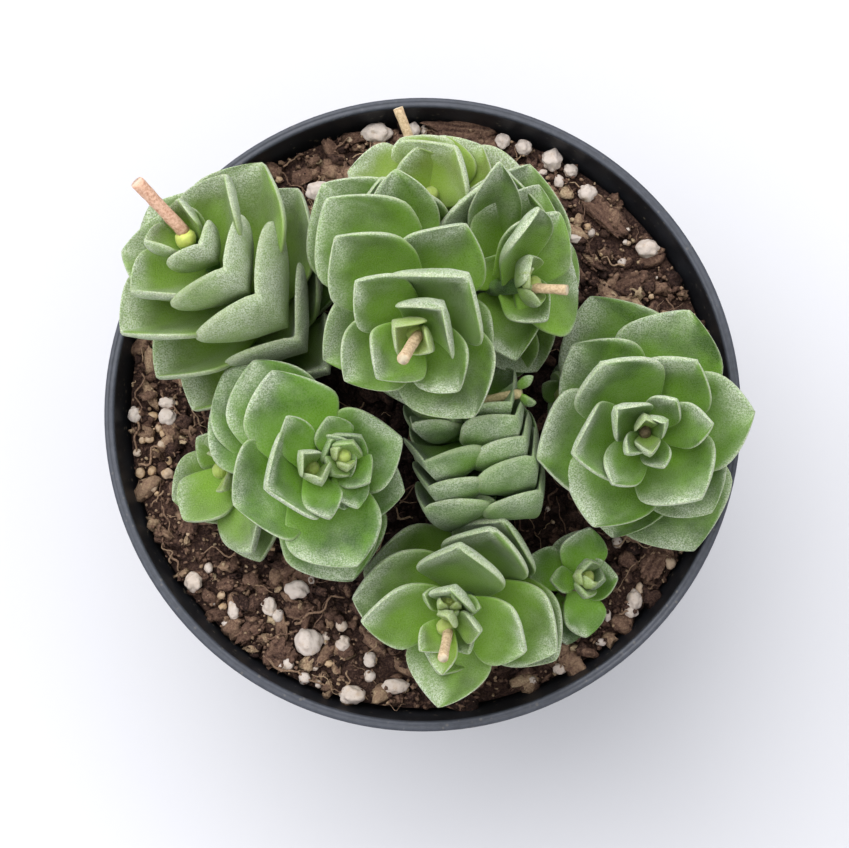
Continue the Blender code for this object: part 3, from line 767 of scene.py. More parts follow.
def reach_pair(row: tuple, base: Vector, way: Vector,
               older: Sequence[Vector] | None) -> list[Vector | None]:
    """Finds how far the two leaves of a pair reach out from the stem.

    Args:
        row: The two leaf tips that the photograph shows, or None.
        base: Where the pair stands on the stem.
        way: The stem's direction there.
        older: Reaches of the last pair that stands the same way, for a hidden pair.

    Returns:
        The reach of each leaf, or None where there is no leaf.
    """
    reach = [VIEW.place(*entry[:3]) - base if entry else None for entry in row]
    for side in (0, 1):
        mate = reach[1 - side] if row[1 - side] else None
        if reach[side] is None and mate is not None:
            reach[side] = way * (2 * mate.dot(way)) - mate
        elif reach[side] is None and older:
            along = way * older[side].dot(way)
            reach[side] = along * FORM.hidden_rise + (older[side] - along) * FORM.hidden_reach
    return reach


def leaves_of(shoot: Shoot) -> list[Leaf]:
    """Lays out the leaves of one shoot, in crossed pairs from the tip down.

    Args:
        shoot: The shoot.

    Returns:
        Its leaves.
    """
    line = StemLine(shoot)
    leaves = []
    whole = {}
    down = shoot.first * MM
    for rank in range(len(shoot.pairs) + shoot.hidden):
        base, way = line.below_tip(down)
        row = shoot.pairs[rank] if rank < len(shoot.pairs) else (None, None)
        pair = reach_pair(row, base, way, whole.get(rank - 2))
        if pair[0] is not None:
            whole[rank] = pair
        share = shoot.slender - FORM.young_narrowing * math.exp(-rank / FORM.young_ranks)
        for entry, reach in zip(row, pair):
            if reach is None:
                continue
            given = entry[3:] if entry else ()
            usual = (reach.length * share / MM, shoot.cup, shoot.sag)
            width, cup, sag = given + usual[len(given):]
            outward = (reach - way * reach.dot(way)).normalized()
            leaves.append(Leaf(
                base + outward * FORM.seat, base + reach, way, width * MM, cup, shoot.fold, sag,
                bool(entry), rank))
        age = 1 - math.exp(-(rank + FORM.young_gap) / shoot.ramp)
        down += shoot.gap * MM * (FORM.young_gap + (1 - FORM.young_gap) * age)
    return leaves


class Arrangement:
    """Places every leaf so that it stays clear of the other plants, the soil and the pot."""

    bends = tuple(
        (lift, turn, share)
        for share in (1.0, 0.92, 0.84, 0.75, 0.65)
        for lift in (0, 6, -6, 12, -12, 20, -20, 28)
        for turn in (0, 7, -7, 14, -14))

    def __init__(self, fixed: dict[str, list[BVHTree]]) -> None:
        """Settles the leaves of all plants.

        Args:
            fixed: For each plant, the search trees of what its leaves stay clear of.
        """
        order = []
        for name, shoots in SHOOTS.items():
            for shoot in shoots:
                order.extend((not leaf.seen, -leaf.tip.z, name, leaf) for leaf in leaves_of(shoot))
        order.sort(key=lambda entry: entry[:2])
        self.leaves: dict[str, list[Leaf]] = {name: [] for name in SHOOTS}
        self.taken: list[tuple[str, Vector, float, BVHTree]] = []
        for _, _, name, leaf in order:
            self.settle(name, leaf, fixed[name])

    def settle(self, name: str, leaf: Leaf, fixed: list[BVHTree]) -> None:
        """Tries the bends in turn and keeps the first that leaves the leaf clear.

        Args:
            name: Name of its plant.
            leaf: The leaf as the shoot has it.
            fixed: Search trees of what it stays clear of.
        """
        for bend in self.bends:
            trial = leaf.bent(*bend)
            middle = (trial.base + trial.tip) / 2
            size = (trial.tip - trial.base).length / 2 + trial.width / 2
            near = [
                tree for owner, centre, radius, tree in self.taken
                if owner != name and (centre - middle).length < radius + size]
            tree = trial.plain_tree(grow=SOIL.gap)
            if any(tree.overlap(other) for other in fixed + near):
                continue
            self.leaves[name].append(trial)
            self.taken.append((name, middle, size, trial.plain_tree()))
            return


def tree_of_bmesh(bm: BMesh) -> BVHTree:
    """Makes the search tree of a bmesh, which is freed."""
    tree = BVHTree.FromBMesh(bm)
    bm.free()
    return tree


def tree_of_mesh(mesh: bpy.types.Mesh) -> BVHTree:
    """Makes the search tree of a mesh."""
    bm = bmesh.new()
    bm.from_mesh(mesh)
    return tree_of_bmesh(bm)


class Heap:
    """A growing mesh, to which small finished meshes are added one after another."""

    def __init__(self) -> None:
        """Starts the heap with nothing in it."""
        self.bm = bmesh.new()
        self.carrier = bpy.data.meshes.new("carrier")

    def pour(self, bm: BMesh) -> None:
        """Adds a small mesh, which is freed."""
        bm.to_mesh(self.carrier)
        bm.free()
        self.bm.from_mesh(self.carrier)

    def take(self) -> BMesh:
        """Hands over the whole mesh."""
        bpy.data.meshes.remove(self.carrier)
        return self.bm


def add_piece(name: str, bm: BMesh, finishes: Iterable[Material],
              replaced: Sequence[str] = ()) -> Object:
    """Turns a finished bmesh into a piece of the object.

    Args:
        name: Name of the piece.
        bm: The piece's mesh in the model's frame, which is freed.
        finishes: Materials, in the order of the mesh's material indices.
        replaced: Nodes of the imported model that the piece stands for.

    Returns:
        The new object.
    """
    for face in bm.faces:
        face.smooth = True
    mesh = bpy.data.meshes.new(name)
    bm.to_mesh(mesh)
    bm.free()
    for finish in finishes:
        mesh.materials.append(finish)
    piece = add_object(name, mesh)
    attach(piece, BODY)
    if replaced:
        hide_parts(*replaced)
    LOG.info("%s: %d faces", name, len(mesh.polygons))
    return piece


def add_tube(bm: BMesh, points: Sequence[Vector], radii: Sequence[float],
             sides: int, knock: Callable[[Vector], float] | None = None) -> list[BMVert]:
    """Adds a closed round tube along points.

    Args:
        bm: Mesh to add to.
        points: Points of the centre line.
        radii: Radius at each point.
        sides: Number of sides.
        knock: Gives the share by which the radius changes at a point of the skin.

    Returns:
        The tube's vertices.
    """
    across = Vector()
    made = []
    ring = []
    edges = []
    for index, (point, radius) in enumerate(zip(points, radii)):
        before = points[max(index - 1, 0)]
        after = points[min(index + 1, len(points) - 1)]
        way = (after - before).normalized()
        if index == 0:
            across = way.orthogonal().normalized()
            ring = bmesh.ops.create_circle(bm, segments=sides, radius=1.0)["verts"]
            edges = list({edge for vertex in ring for edge in vertex.link_edges})
        else:
            grown = bmesh.ops.extrude_edge_only(bm, edges=edges)["geom"]
            new = {item for item in grown if isinstance(item, BMVert)}
            ring = [
                next(edge.other_vert(vertex) for edge in vertex.link_edges
                     if edge.other_vert(vertex) in new)
                for vertex in ring]
            edges = [item for item in grown if isinstance(item, BMEdge)
                     and item.verts[0] in new and item.verts[1] in new]
        made.extend(ring)
        across = (across - way * across.dot(way)).normalized()
        other = way.cross(across)
        for step, vertex in enumerate(ring):
            turn = 2 * math.pi * step / sides
            arm = across * math.cos(turn) + other * math.sin(turn)
            place = point + arm * radius
            vertex.co = place + arm * (radius * knock(place) if knock else 0.0)
    bm.faces.new(reversed(made[:sides]))
    bm.faces.new(ring)
    return made


def lathe(rows: Sequence[Span], segments: int) -> BMesh:
    """Turns an outline round the frame's upright axis.

    Args:
        rows: Radius and height of each of its points.
        segments: Number of segments round the axis.

    Returns:
        The turned mesh.
    """
    bm = bmesh.new()
    corners = [bm.verts.new((radius, 0.0, height)) for radius, height in rows]
    edges = [bm.edges.new(pair) for pair in zip(corners, corners[1:])]
    bmesh.ops.spin(
        bm, geom=corners + edges, cent=(0, 0, 0), axis=(0, 0, 1), dvec=(0, 0, 0),
        angle=2 * math.pi, steps=segments, use_merge=True)
    return bm


EVEN = (1.0, 1.0, 1.0)
UNIT = (0.0, 1.0)
MIDDLE = (0.3, 0.7)
# Numbers of the Mix node's colour sockets
MIX_FIRST, MIX_SECOND, MIX_RESULT = 6, 7, 2


@dataclass(frozen=True)
class Cloud:
    """A noise: size of its blotches, octaves and strength of its finer noise, and stretch."""
    size: float
    detail: float
    rough: float = 0.5
    stretch: Colour = EVEN


class NodeSheet:
    """One material's nodes, with short methods to add and join them."""

    def __init__(self, name: str) -> None:
        """Starts the material with a shader and its object coordinates.

        Args:
            name: Name of the material.
        """
        self.material = bpy.data.materials.new(name)
        self.material.use_nodes = True
        self.tree = self.material.node_tree
        self.tree.nodes.clear()
        self.shader = self.tree.nodes.new("ShaderNodeBsdfPrincipled")
        output = self.tree.nodes.new("ShaderNodeOutputMaterial")
        self.tree.links.new(self.shader.outputs[0], output.inputs[0])
        self.place = self.tree.nodes.new("ShaderNodeTexCoord").outputs["Object"]

    def feed(self, socket: NodeSocket, value: object) -> None:
        """Joins a socket to another, or sets it.

        Args:
            socket: The socket to feed.
            value: Another socket, a colour or a number.
        """
        if isinstance(value, NodeSocket):
            self.tree.links.new(value, socket)
        elif isinstance(value, tuple) and socket.type == "RGBA":
            socket.default_value = (*value, 1.0)
        else:
            socket.default_value = value

    def surface(self, **values: object) -> Material:
        """Finishes the material's surface.

        Args:
            values: What feeds each of the shader's sockets, named with underscores for spaces.

        Returns:
            The material.
        """
        for name, value in values.items():
            self.feed(self.shader.inputs[name.replace("_", " ")], value)
        return self.material

    def add(self, kind: str, output: str | int, inputs: dict[str | int, object],
            **settings: object) -> NodeSocket:
        """Adds a node.

        Args:
            kind: Blender's name of the node, without ShaderNode.
            output: The output that is wanted.
            inputs: What feeds each of its inputs.
            settings: Its other settings.

        Returns:
            The wanted output.
        """
        node = self.tree.nodes.new("ShaderNode" + kind)
        for name, value in settings.items():
            setattr(node, name, value)
        for name, value in inputs.items():
            self.feed(node.inputs[name], value)
        return node.outputs[output]

    def attribute(self, name: str) -> NodeSocket:
        """Reads one of the mesh's attributes."""
        return self.add("Attribute", "Fac", {}, attribute_name=name)

    def spread(self, size: float, stretch: Colour = EVEN) -> NodeSocket:
        """Object coordinates in units of a size, stretched along X, Y and Z."""
        scale = tuple(share / size for share in stretch)
        return self.add("Mapping", "Vector", {"Scale": scale, "Vector": self.place})

    def cloud(self, cloud: Cloud) -> NodeSocket:
        """Adds a noise."""
        return self.add("TexNoise", "Fac", {
            "Scale": 1.0, "Detail": cloud.detail, "Roughness": cloud.rough,
            "Vector": self.spread(cloud.size, cloud.stretch)})

    def cells(self, size: float, blur: float = 0.0) -> NodeSocket:
        """Adds cells of a size, as distances from their middles.

        Args:
            size: Size of a cell in metres.
            blur: How far the cells melt into each other.

        Returns:
            The distance.
        """
        inputs = {"Scale": 1.0, "Vector": self.spread(size)}
        if blur:
            inputs["Smoothness"] = blur
        feature = "SMOOTH_F1" if blur else "F1"
        return self.add("TexVoronoi", "Distance", inputs, feature=feature)

    def step(self, value: NodeSocket, span: Span, results: Span = UNIT) -> NodeSocket:
        """Adds a smooth step over a span of the value, with its results at the two ends."""
        ends = dict(zip(("From Min", "From Max", "To Min", "To Max"), (*span, *results)))
        return self.add("MapRange", "Result", {"Value": value, **ends}, interpolation_type="SMOOTHSTEP")

    def sum(self, first: object, second: object, way: str = "MULTIPLY") -> NodeSocket:
        """Adds a sum of two numbers or sockets, held between 0 and 1."""
        return self.add("Math", "Value", {0: first, 1: second}, operation=way, use_clamp=True)

    def blend(self, share: object, first: object, second: object) -> NodeSocket:
        """Mixes two colours or sockets by the share of the second."""
        inputs = {0: share, MIX_FIRST: first, MIX_SECOND: second}
        return self.add("Mix", MIX_RESULT, inputs, data_type="RGBA")

    def ladder(self, value: NodeSocket, steps: Sequence[tuple[float, Colour]]) -> NodeSocket:
        """Reads a value off a row of colours.

        Args:
            value: The value to read.
            steps: Place and colour of each step, in rising order.

        Returns:
            The colour.
        """
        colour = self.add("ValToRGB", "Color", {"Fac": value})
        marks = colour.node.color_ramp.elements
        while len(marks) < len(steps):
            marks.new(0.5)
        for mark, (place, tint) in zip(marks, steps):
            mark.position = place
            mark.color = (*tint, 1.0)
        return colour

    def relief(self, height: NodeSocket, depth: float, strength: float) -> NodeSocket:
        """Adds a bump whose height of 1 stands for a depth in metres, and gives its normal."""
        return self.add(
            "Bump", "Normal", {"Strength": strength, "Distance": depth, "Height": height})


@dataclass(frozen=True)
class LeafFinish:
    """Fleshy leaf with a frosted bloom of white papillae, thickest along its margins."""
    deep: Colour = srgb(50, 84, 24)
    green: Colour = srgb(96, 136, 38)
    vivid: Colour = srgb(110, 156, 22)
    # Pale tint of young growth, which also paints light over whole plants
    tender: Colour = srgb(218, 226, 108)
    frost: Colour = srgb(160, 171, 146)
    papilla: Colour = srgb(226, 232, 214)
    edge: Colour = srgb(196, 202, 172)
    blotch: Cloud = Cloud(4.0 * MM, 3.0)
    tone_share: float = 0.6
    patch: Cloud = Cloud(1.3 * MM, 3.0, 0.6)
    patch_shares: Span = (0.75, 1.0)
    frost_share: float = 0.68
    papillae: Cloud = Cloud(0.24 * MM, 3.0, 0.7)
    papilla_span: Span = (0.38, 0.62)
    papilla_start: Span = (0.1, 1.0)
    papilla_shares: Span = (0.07, 0.66)
    papilla_height: float = 0.07 * MM
    papilla_relief: float = 0.7
    roughness: Span = (0.4, 0.75)
    gloss: float = 0.42
    flesh: float = 0.12
    flesh_tint: Colour = (0.5, 1.0, 0.18)
    flesh_depth: float = 0.6 * MM
    sheen: float = 0.22
    sheen_roughness: float = 0.35

    def material(self) -> Material:
        """Builds the leaf's material, which reads the leaf's own attributes.

        Returns:
            The material.
        """
        sheet = NodeSheet("crassula_leaf")
        frost = sheet.attribute("frost")
        body = sheet.blend(sheet.step(sheet.cloud(self.blotch), MIDDLE), self.deep, self.green)
        body = sheet.blend(sheet.sum(sheet.attribute("tone"), self.tone_share), body, self.green)
        body = sheet.blend(sheet.attribute("vivid"), body, self.vivid)
        body = sheet.blend(sheet.attribute("tender"), body, self.tender)
        bloom = sheet.sum(frost, sheet.step(sheet.cloud(self.patch), MIDDLE, self.patch_shares))
        body = sheet.blend(sheet.sum(bloom, self.frost_share), body, self.frost)
        near = sheet.step(sheet.cloud(self.papillae), self.papilla_span)
        grown = sheet.sum(near, sheet.step(bloom, self.papilla_start, self.papilla_shares))
        body = sheet.blend(grown, body, self.papilla)
        body = sheet.blend(sheet.attribute("edge"), body, self.edge)
        return sheet.surface(
            Base_Color=body, Roughness=sheet.step(frost, UNIT, self.roughness),
            Normal=sheet.relief(near, self.papilla_height, self.papilla_relief),
            Subsurface_Weight=self.flesh, Subsurface_Radius=self.flesh_tint,
            Subsurface_Scale=self.flesh_depth, Sheen_Weight=self.sheen,
            Sheen_Roughness=self.sheen_roughness, Specular_IOR_Level=self.gloss)


@dataclass(frozen=True)
class BarkFinish:
    """Pale, dry, finely cracked bark of an old stem or a withered flower stalk."""
    name: str
    dark: Colour
    pale: Colour
    end: Colour
    # Colour of the dark tissue ring on a broken end, and of the painted shade in its hole
    ring: Colour = srgb(96, 74, 56)
    grain: Cloud = Cloud(0.5 * MM, 4.0, 0.65)
    grain_span: Span = (0.25, 0.6)
    cracks: Cloud = Cloud(0.2 * MM, 5.0, 0.7)
    crack_depth: float = 0.18 * MM
    crack_relief: float = 0.6
    roughness: float = 0.82
    flesh: float = 0.08
    flesh_tint: Colour = (1.0, 0.6, 0.4)
    flesh_depth: float = 0.6 * MM

    def material(self) -> Material:
        """Builds the bark's material.

        Returns:
            The material.
        """
        sheet = NodeSheet(self.name)
        colours = tuple(zip(self.grain_span, (self.dark, self.pale)))
        body = sheet.ladder(sheet.cloud(self.grain), colours)
        body = sheet.blend(sheet.attribute("end"), body, self.end)
        body = sheet.blend(sheet.attribute("ring"), body, self.ring)
        return sheet.surface(
            Base_Color=body, Roughness=self.roughness,
            Normal=sheet.relief(sheet.cloud(self.cracks), self.crack_depth, self.crack_relief),
            Subsurface_Weight=self.flesh, Subsurface_Radius=self.flesh_tint,
            Subsurface_Scale=self.flesh_depth)


OLD_BARK = BarkFinish("old_bark", srgb(92, 78, 62), srgb(142, 126, 106), srgb(150, 130, 112))
TAN_STALK = BarkFinish("tan_stalk", srgb(152, 126, 98), srgb(206, 184, 152), srgb(210, 198, 172))
PINK_STALK = BarkFinish("pink_stalk", srgb(172, 120, 98), srgb(224, 188, 164), srgb(226, 198, 176))
GREEN_STALK = BarkFinish("green_stalk", srgb(140, 132, 92), srgb(190, 176, 138), srgb(200, 190, 150))


@dataclass(frozen=True)
class PlasticFinish:
    """Thin black nursery plastic, dusty inside, softly scuffed outside, its rim grey with scuffs and
    painted highlight.
    """
    black: Colour = srgb(42, 44, 50)
    worn: Colour = srgb(70, 73, 82)
    # Grey of the rim's top: partly scuffed plastic, partly a painted highlight
    rim: Colour = srgb(72, 75, 84)
    dust: Colour = srgb(104, 92, 80)
    pale_dust: Colour = srgb(206, 194, 170)
    wear: Cloud = Cloud(6.0 * MM, 4.0)
    wear_span: Span = (0.45, 0.75)
    wear_shares: Span = (0.0, 0.4)
    scuff: Cloud = Cloud(1.1 * MM, 4.0, 0.6, (1.0, 1.0, 3.0))
    scuff_shares: Span = (0.6, 1.0)
    film: Cloud = Cloud(2.2 * MM, 5.0, 0.7)
    film_span: Span = (0.5, 0.75)
    film_shares: Span = (0.0, 0.3)
    speck_gap: float = 1.2 * MM
    speck_span: Span = (0.12, 0.3)
    speck_patch: Cloud = Cloud(2.6 * MM, 2.0)
    speck_patch_span: Span = (0.5, 0.6)
    speck_shares: Span = (0.1, 0.8)
    roughness_span: Span = (0.3, 0.8)
    roughness: Span = (0.42, 0.58)
    gloss: float = 0.5
    grain: Cloud = Cloud(0.5 * MM, 4.0)
    grain_depth: float = 0.03 * MM
    grain_relief: float = 0.5

    def material(self) -> Material:
        """Builds the pot's material.

        Returns:
            The material.
        """
        sheet = NodeSheet("nursery_plastic")
        wear = sheet.cloud(self.wear)
        body = sheet.blend(sheet.step(wear, self.wear_span, self.wear_shares), self.black, self.worn)
        scuff = sheet.step(sheet.cloud(self.scuff), MIDDLE, self.scuff_shares)
        # The rim's top gets partly scuffing and partly a painted highlight
        rim_scuff_and_highlight = sheet.sum(sheet.attribute("rim"), scuff)
        body = sheet.blend(rim_scuff_and_highlight, body, self.rim)
        inner = sheet.attribute("inner")
        film = sheet.step(sheet.cloud(self.film), self.film_span, self.film_shares)
        body = sheet.blend(sheet.sum(inner, film), body, self.dust)
        specks = sheet.step(sheet.cells(self.speck_gap), self.speck_span, UNIT[::-1])
        picked = sheet.step(sheet.cloud(self.speck_patch), self.speck_patch_span)
        kept = sheet.step(inner, UNIT, self.speck_shares)
        body = sheet.blend(sheet.sum(sheet.sum(specks, picked), kept), body, self.pale_dust)
        grain = sheet.cloud(self.grain)
        return sheet.surface(
            Base_Color=body, Roughness=sheet.step(wear, self.roughness_span, self.roughness),
            Specular_IOR_Level=self.gloss,
            Normal=sheet.relief(grain, self.grain_depth, self.grain_relief))


@dataclass(frozen=True)
class CompostFinish:
    """Peat and composted bark, each crumb with its own tone, into which painted shade and light are
    mixed.
    """
    # Black is reached mostly where painted shade darkens the compost under the plants
    black: Colour = srgb(34, 27, 25)
    dark: Colour = srgb(74, 56, 51)
    brown: Colour = srgb(128, 102, 88)
    tan: Colour = srgb(174, 148, 124)
    straw: Colour = srgb(208, 188, 156)
    tones: tuple[float, ...] = (0.07, 0.27, 0.5, 0.75, 0.94)
    grain: Cloud = Cloud(0.45 * MM, 5.0, 0.75)
    grain_span: Span = (0.2, 0.8)
    grain_share: float = 0.38
    grain_depth: float = 0.6 * MM
    grain_relief: float = 0.9
    roughness: float = 0.88
    gloss: float = 0.3

    def material(self) -> Material:
        """Builds the compost's material.

        Returns:
            The material.
        """
        sheet = NodeSheet("peat_compost")
        tone = sheet.attribute("tone")
        grain = sheet.cloud(self.grain)
        fine = sheet.step(grain, self.grain_span)
        mixed = sheet.blend(fine, (0.0, 0.0, 0.0), (1.0, 1.0, 1.0))
        value = sheet.blend(self.grain_share, tone, mixed)
        colours = (self.black, self.dark, self.brown, self.tan, self.straw)
        return sheet.surface(
            Base_Color=sheet.ladder(value, tuple(zip(self.tones, colours))),
            Roughness=self.roughness, Specular_IOR_Level=self.gloss,
            Normal=sheet.relief(grain, self.grain_depth, self.grain_relief))


@dataclass(frozen=True)
class PerliteFinish:
    """White expanded perlite, pitted and stained by the compost, and tan granules of its size."""
    white: Colour = srgb(200, 189, 181)
    stain: Colour = srgb(178, 152, 120)
    pit: Colour = srgb(150, 122, 106)
    dirt: Cloud = Cloud(1.4 * MM, 4.0, 0.6)
    dirt_span: Span = (0.5, 0.8)
    dirt_shares: Span = (0.0, 0.5)
    pit_size: float = 0.55 * MM
    pit_blur: float = 0.3
    pit_span: Span = (0.05, 0.3)
    pit_shares: Span = (0.35, 0.0)
    pit_depth: float = 0.15 * MM
    pit_relief: float = 0.5
    roughness: float = 0.8
    flesh: float = 0.2
    flesh_tint: Colour = (1.0, 0.9, 0.8)
    flesh_depth: float = 0.8 * MM

    def material(self) -> Material:
        """Builds the perlite's material.

        Returns:
            The material.
        """
        sheet = NodeSheet("perlite")
        dirt = sheet.step(sheet.cloud(self.dirt), self.dirt_span, self.dirt_shares)
        stain = sheet.sum(dirt, sheet.attribute("stain"), way="ADD")
        body = sheet.blend(stain, self.white, self.stain)
        pits = sheet.cells(self.pit_size, blur=self.pit_blur)
        body = sheet.blend(sheet.step(pits, self.pit_span, self.pit_shares), body, self.pit)
        return sheet.surface(
            Base_Color=body, Roughness=self.roughness, Subsurface_Weight=self.flesh,
            Subsurface_Radius=self.flesh_tint, Subsurface_Scale=self.flesh_depth,
            Normal=sheet.relief(pits, self.pit_depth, self.pit_relief))


class Bud(Enum):
    """State of the growing tip in the middle of a rosette: how tender it is, and its size."""
    GREEN = (0.45, 0.95)
    PALE = (1.0, 1.15)
    DRY = (0.0, 0.7)


@dataclass(frozen=True)
class Habit:
    """What is particular to one plant: its tender share, partly painted light, its frost and buds, and
    its stalk.
    """
    fresh_and_painted_light: float = 0.0
    coat: float = 1.0
    bud: Bud = Bud.GREEN
    girth: float = 1.0
    stalk: BarkFinish = TAN_STALK


# The plant's tender share lightens all its leaves: partly the pale tint of young growth, partly painted
# light, strongest on the upper-left and top plants
HABITS = {
    "stem_upper_left": Habit(fresh_and_painted_light=0.14, bud=Bud.PALE, girth=1.3, stalk=PINK_STALK),
    "stem_top_middle": Habit(fresh_and_painted_light=0.07, girth=1.12),
    "stem_top_right": Habit(fresh_and_painted_light=0.08, coat=1.1),
    "stem_top": Habit(fresh_and_painted_light=0.3, coat=1.15),
    "stem_right": Habit(fresh_and_painted_light=0.03, coat=1.05, bud=Bud.DRY),
    "stem_left_low": Habit(fresh_and_painted_light=0.1, coat=0.85),
    "stem_middle": Habit(coat=0.66, stalk=GREEN_STALK),
    "stem_bottom": Habit(fresh_and_painted_light=0.08),
}


class FineLeaf:
    """The fine skin of one leaf, with its thick round margin, keel and wavy edge."""

    def __init__(self, leaf: Leaf, seed: int, habit: Habit) -> None:
        """Draws the leaf's own chances from its seed.

        Args:
            leaf: The plain leaf.
            seed: Seed of its chances.
            habit: What is particular to its plant.
        """
        chance = random.Random(seed)
        self.leaf = leaf
        self.shoulders = tuple(chance.uniform(-1.0, 1.0) * SKIN.shoulder_sway for _ in range(2))
        self.phase = chance.uniform(0.0, 2 * math.pi)
        self.twist = chance.uniform(-1.0, 1.0) * SKIN.twist
        self.wave = chance.uniform(SKIN.least_wave, 1.0) * SKIN.wave
        self.tone = chance.random()
        self.tip_curve = chance.uniform(*SKIN.tip_curves)
        self.seed = seed
        self.length = (leaf.tip - leaf.base).length
        self.lean = chance.uniform(-1.0, 1.0) * BLOOM.lean
        self.axes = leaf.axes()
        # Painted sheen: how far the bloom shifts towards the half of this leaf that faces the key light
        self.painted_sheen_shift = self.axes[2].dot(Vector(BLOOM.key_light_side).normalized()) * BLOOM.painted_sheen_margin
        small = 1 - ease(self.length, BLOOM.young)
        self.coat = habit.coat * (1 - BLOOM.bare * small)
        # The plant's tender share is partly painted light; the young leaves' own share is their real
        # colour
        self.tender = habit.fresh_and_painted_light + BLOOM.tender * math.exp(-leaf.rank / BLOOM.tender_ranks) * small

    def cloud(self, along: float, across: float, grain: Span, seed: float) -> float:
        """Reads a noise of the leaf's own.

        Args:
            along: Share of the length.
            across: Share of the half width.
            grain: Fineness of the noise along and across.
            seed: Sets one noise of the leaf apart from another.

        Returns:
            The noise there, -1 to 1.
        """
        return noise.noise(Vector((along * grain[0], across * grain[1], self.seed * seed)))

    def half(self, along: float, across: float) -> float:
        """Finds the half width on one side.

        Args:
            along: Share of the length.
            across: Share of the half width, below 0 on the left.

        Returns:
            The half width in metres.
        """
        share = FORM.outline(along, SKIN.base_share, self.tip_curve, SKIN.bluntness)
        sway = self.shoulders[0 if across < 0 else 1] * math.sin(math.pi * along)
        ripple = math.sin(along * SKIN.side_waves + self.phase + across) * ease(along, SKIN.side_start)
        return self.leaf.width / 2 * share * (1 + sway + self.wave * SKIN.side_wave * ripple)

    def point(self, place: Vector) -> tuple[Vector, dict[str, float]]:
        """Finds where a point of the unit sphere lies on the skin.

        Args:
            place: Point of the unit sphere, Z along the leaf and Y inwards.

        Returns:
            The point, and the values of the skin's attributes there.
        """
        leaf = self.leaf
        along, ring = along_sphere(place)
        across, face = 0.0, 0.0
        if ring > SKIN.pole:
            turn = math.atan2(place.y, place.x)
            across, face = (
                math.copysign(abs(part) ** SKIN.squareness, part)
                for part in (math.cos(turn), math.sin(turn)))
        half = self.half(along, across)
        chord, inward, side = self.axes
        lift = leaf.rise(along, across, half)
        keel = 1 + SKIN.keel * (1 - abs(across)) if face < 0 else 1.0
        lift += leaf.thick(along) * face * (FORM.inner_share if face > 0 else FORM.outer_share * keel)
        ripple = math.sin(along * SKIN.margin_waves + self.phase * 2 + across)
        ripple *= self.wave * SKIN.margin_wave * ease(along, SKIN.margin_start)
        swell = self.cloud(along, across, SKIN.swell_grain, SKIN.swell_seed) * SKIN.swell
        lift += (abs(across) ** SKIN.margin_sharpness * ripple + swell) * self.length
        lift += across * half * math.tan(self.twist) * along
        point = leaf.base + chord * along + side * half * across + inward * lift
        return point, self.values(along, across, face)

    def values(self, along: float, across: float, face: float) -> dict[str, float]:
        """Finds the values of the skin's attributes.

        Args:
            along: Share of the length.
            across: Share of the half width.
            face: Below 0 on the outer face and above 0 on the inner one.

        Returns:
            The value of each attribute.
        """
        side = abs(across)
        # wide moves the frosted margin and tip towards the half that faces the key light: painted sheen
        wide = self.painted_sheen_shift * math.copysign(1.0, across)
        if face < 0:
            frost = BLOOM.outer_least
            margin = ease(side, BLOOM.outer_rim) * ease(along, BLOOM.outer_run)
            margin = max(margin, ease(along, BLOOM.outer_tip))
        else:
            frost = BLOOM.inner_least
            rim, run = BLOOM.inner_rim, BLOOM.inner_run
            margin = ease(side, (rim[0] - wide, rim[1]))
            margin *= ease(along, (run[0] - wide * BLOOM.painted_sheen_run, run[1]))
            margin = max(margin, ease(along + wide * side, BLOOM.inner_tip))
        cloud = BLOOM.cloud * self.cloud(along, across, BLOOM.cloud_grain, BLOOM.cloud_seed)
        frost += BLOOM.margin * margin + (cloud + self.lean * across) * ease(along, BLOOM.start)
        vivid = (1 - ease(along, BLOOM.vivid)) * (BLOOM.inner_vivid if face > 0 else BLOOM.outer_vivid)
        edge = ease(side, BLOOM.edge_rim) * ease(along, BLOOM.edge_run)
        edge = max(edge, ease(along, BLOOM.edge_tip))
        return {
            "frost": clamp(frost * self.coat), "vivid": vivid,
            "edge": BLOOM.edge * edge, "tone": self.tone,
            "tender": self.tender * (1 - BLOOM.tender_fade * along)}

    def skin(self, finish: int = 0) -> BMesh:
        """Models the leaf's skin.

        Args:
            finish: Index of its material.

        Returns:
            The skin's own mesh.
        """
        small = self.length < SKIN.small_length
        bm = bmesh.new()
        layers = attribute_layers(bm)
        made = bmesh.ops.create_uvsphere(
            bm, u_segments=SKIN.small_around if small else SKIN.around,
            v_segments=SKIN.small_rings if small else SKIN.rings, radius=1.0)
        for vertex in made["verts"]:
            vertex.co, values = self.point(vertex.co)
            for name, value in values.items():
                vertex[layers[name]] = value
        for face in bm.faces:
            face.material_index = finish
        return bm


LEAF_VALUES = ("frost", "vivid", "edge", "tone", "tender", "end", "ring")


def attribute_layers(bm: BMesh) -> dict[str, BMLayerItem]:
    """The mesh's layers of leaf values, made where they are missing."""
    layers = bm.verts.layers.float
    return {name: layers.get(name) or layers.new(name) for name in LEAF_VALUES}


def faces_of(vertices: Iterable[BMVert]) -> set[BMFace]:
    """All faces that meet some of the vertices."""
    return {face for vertex in vertices for face in vertex.link_faces}


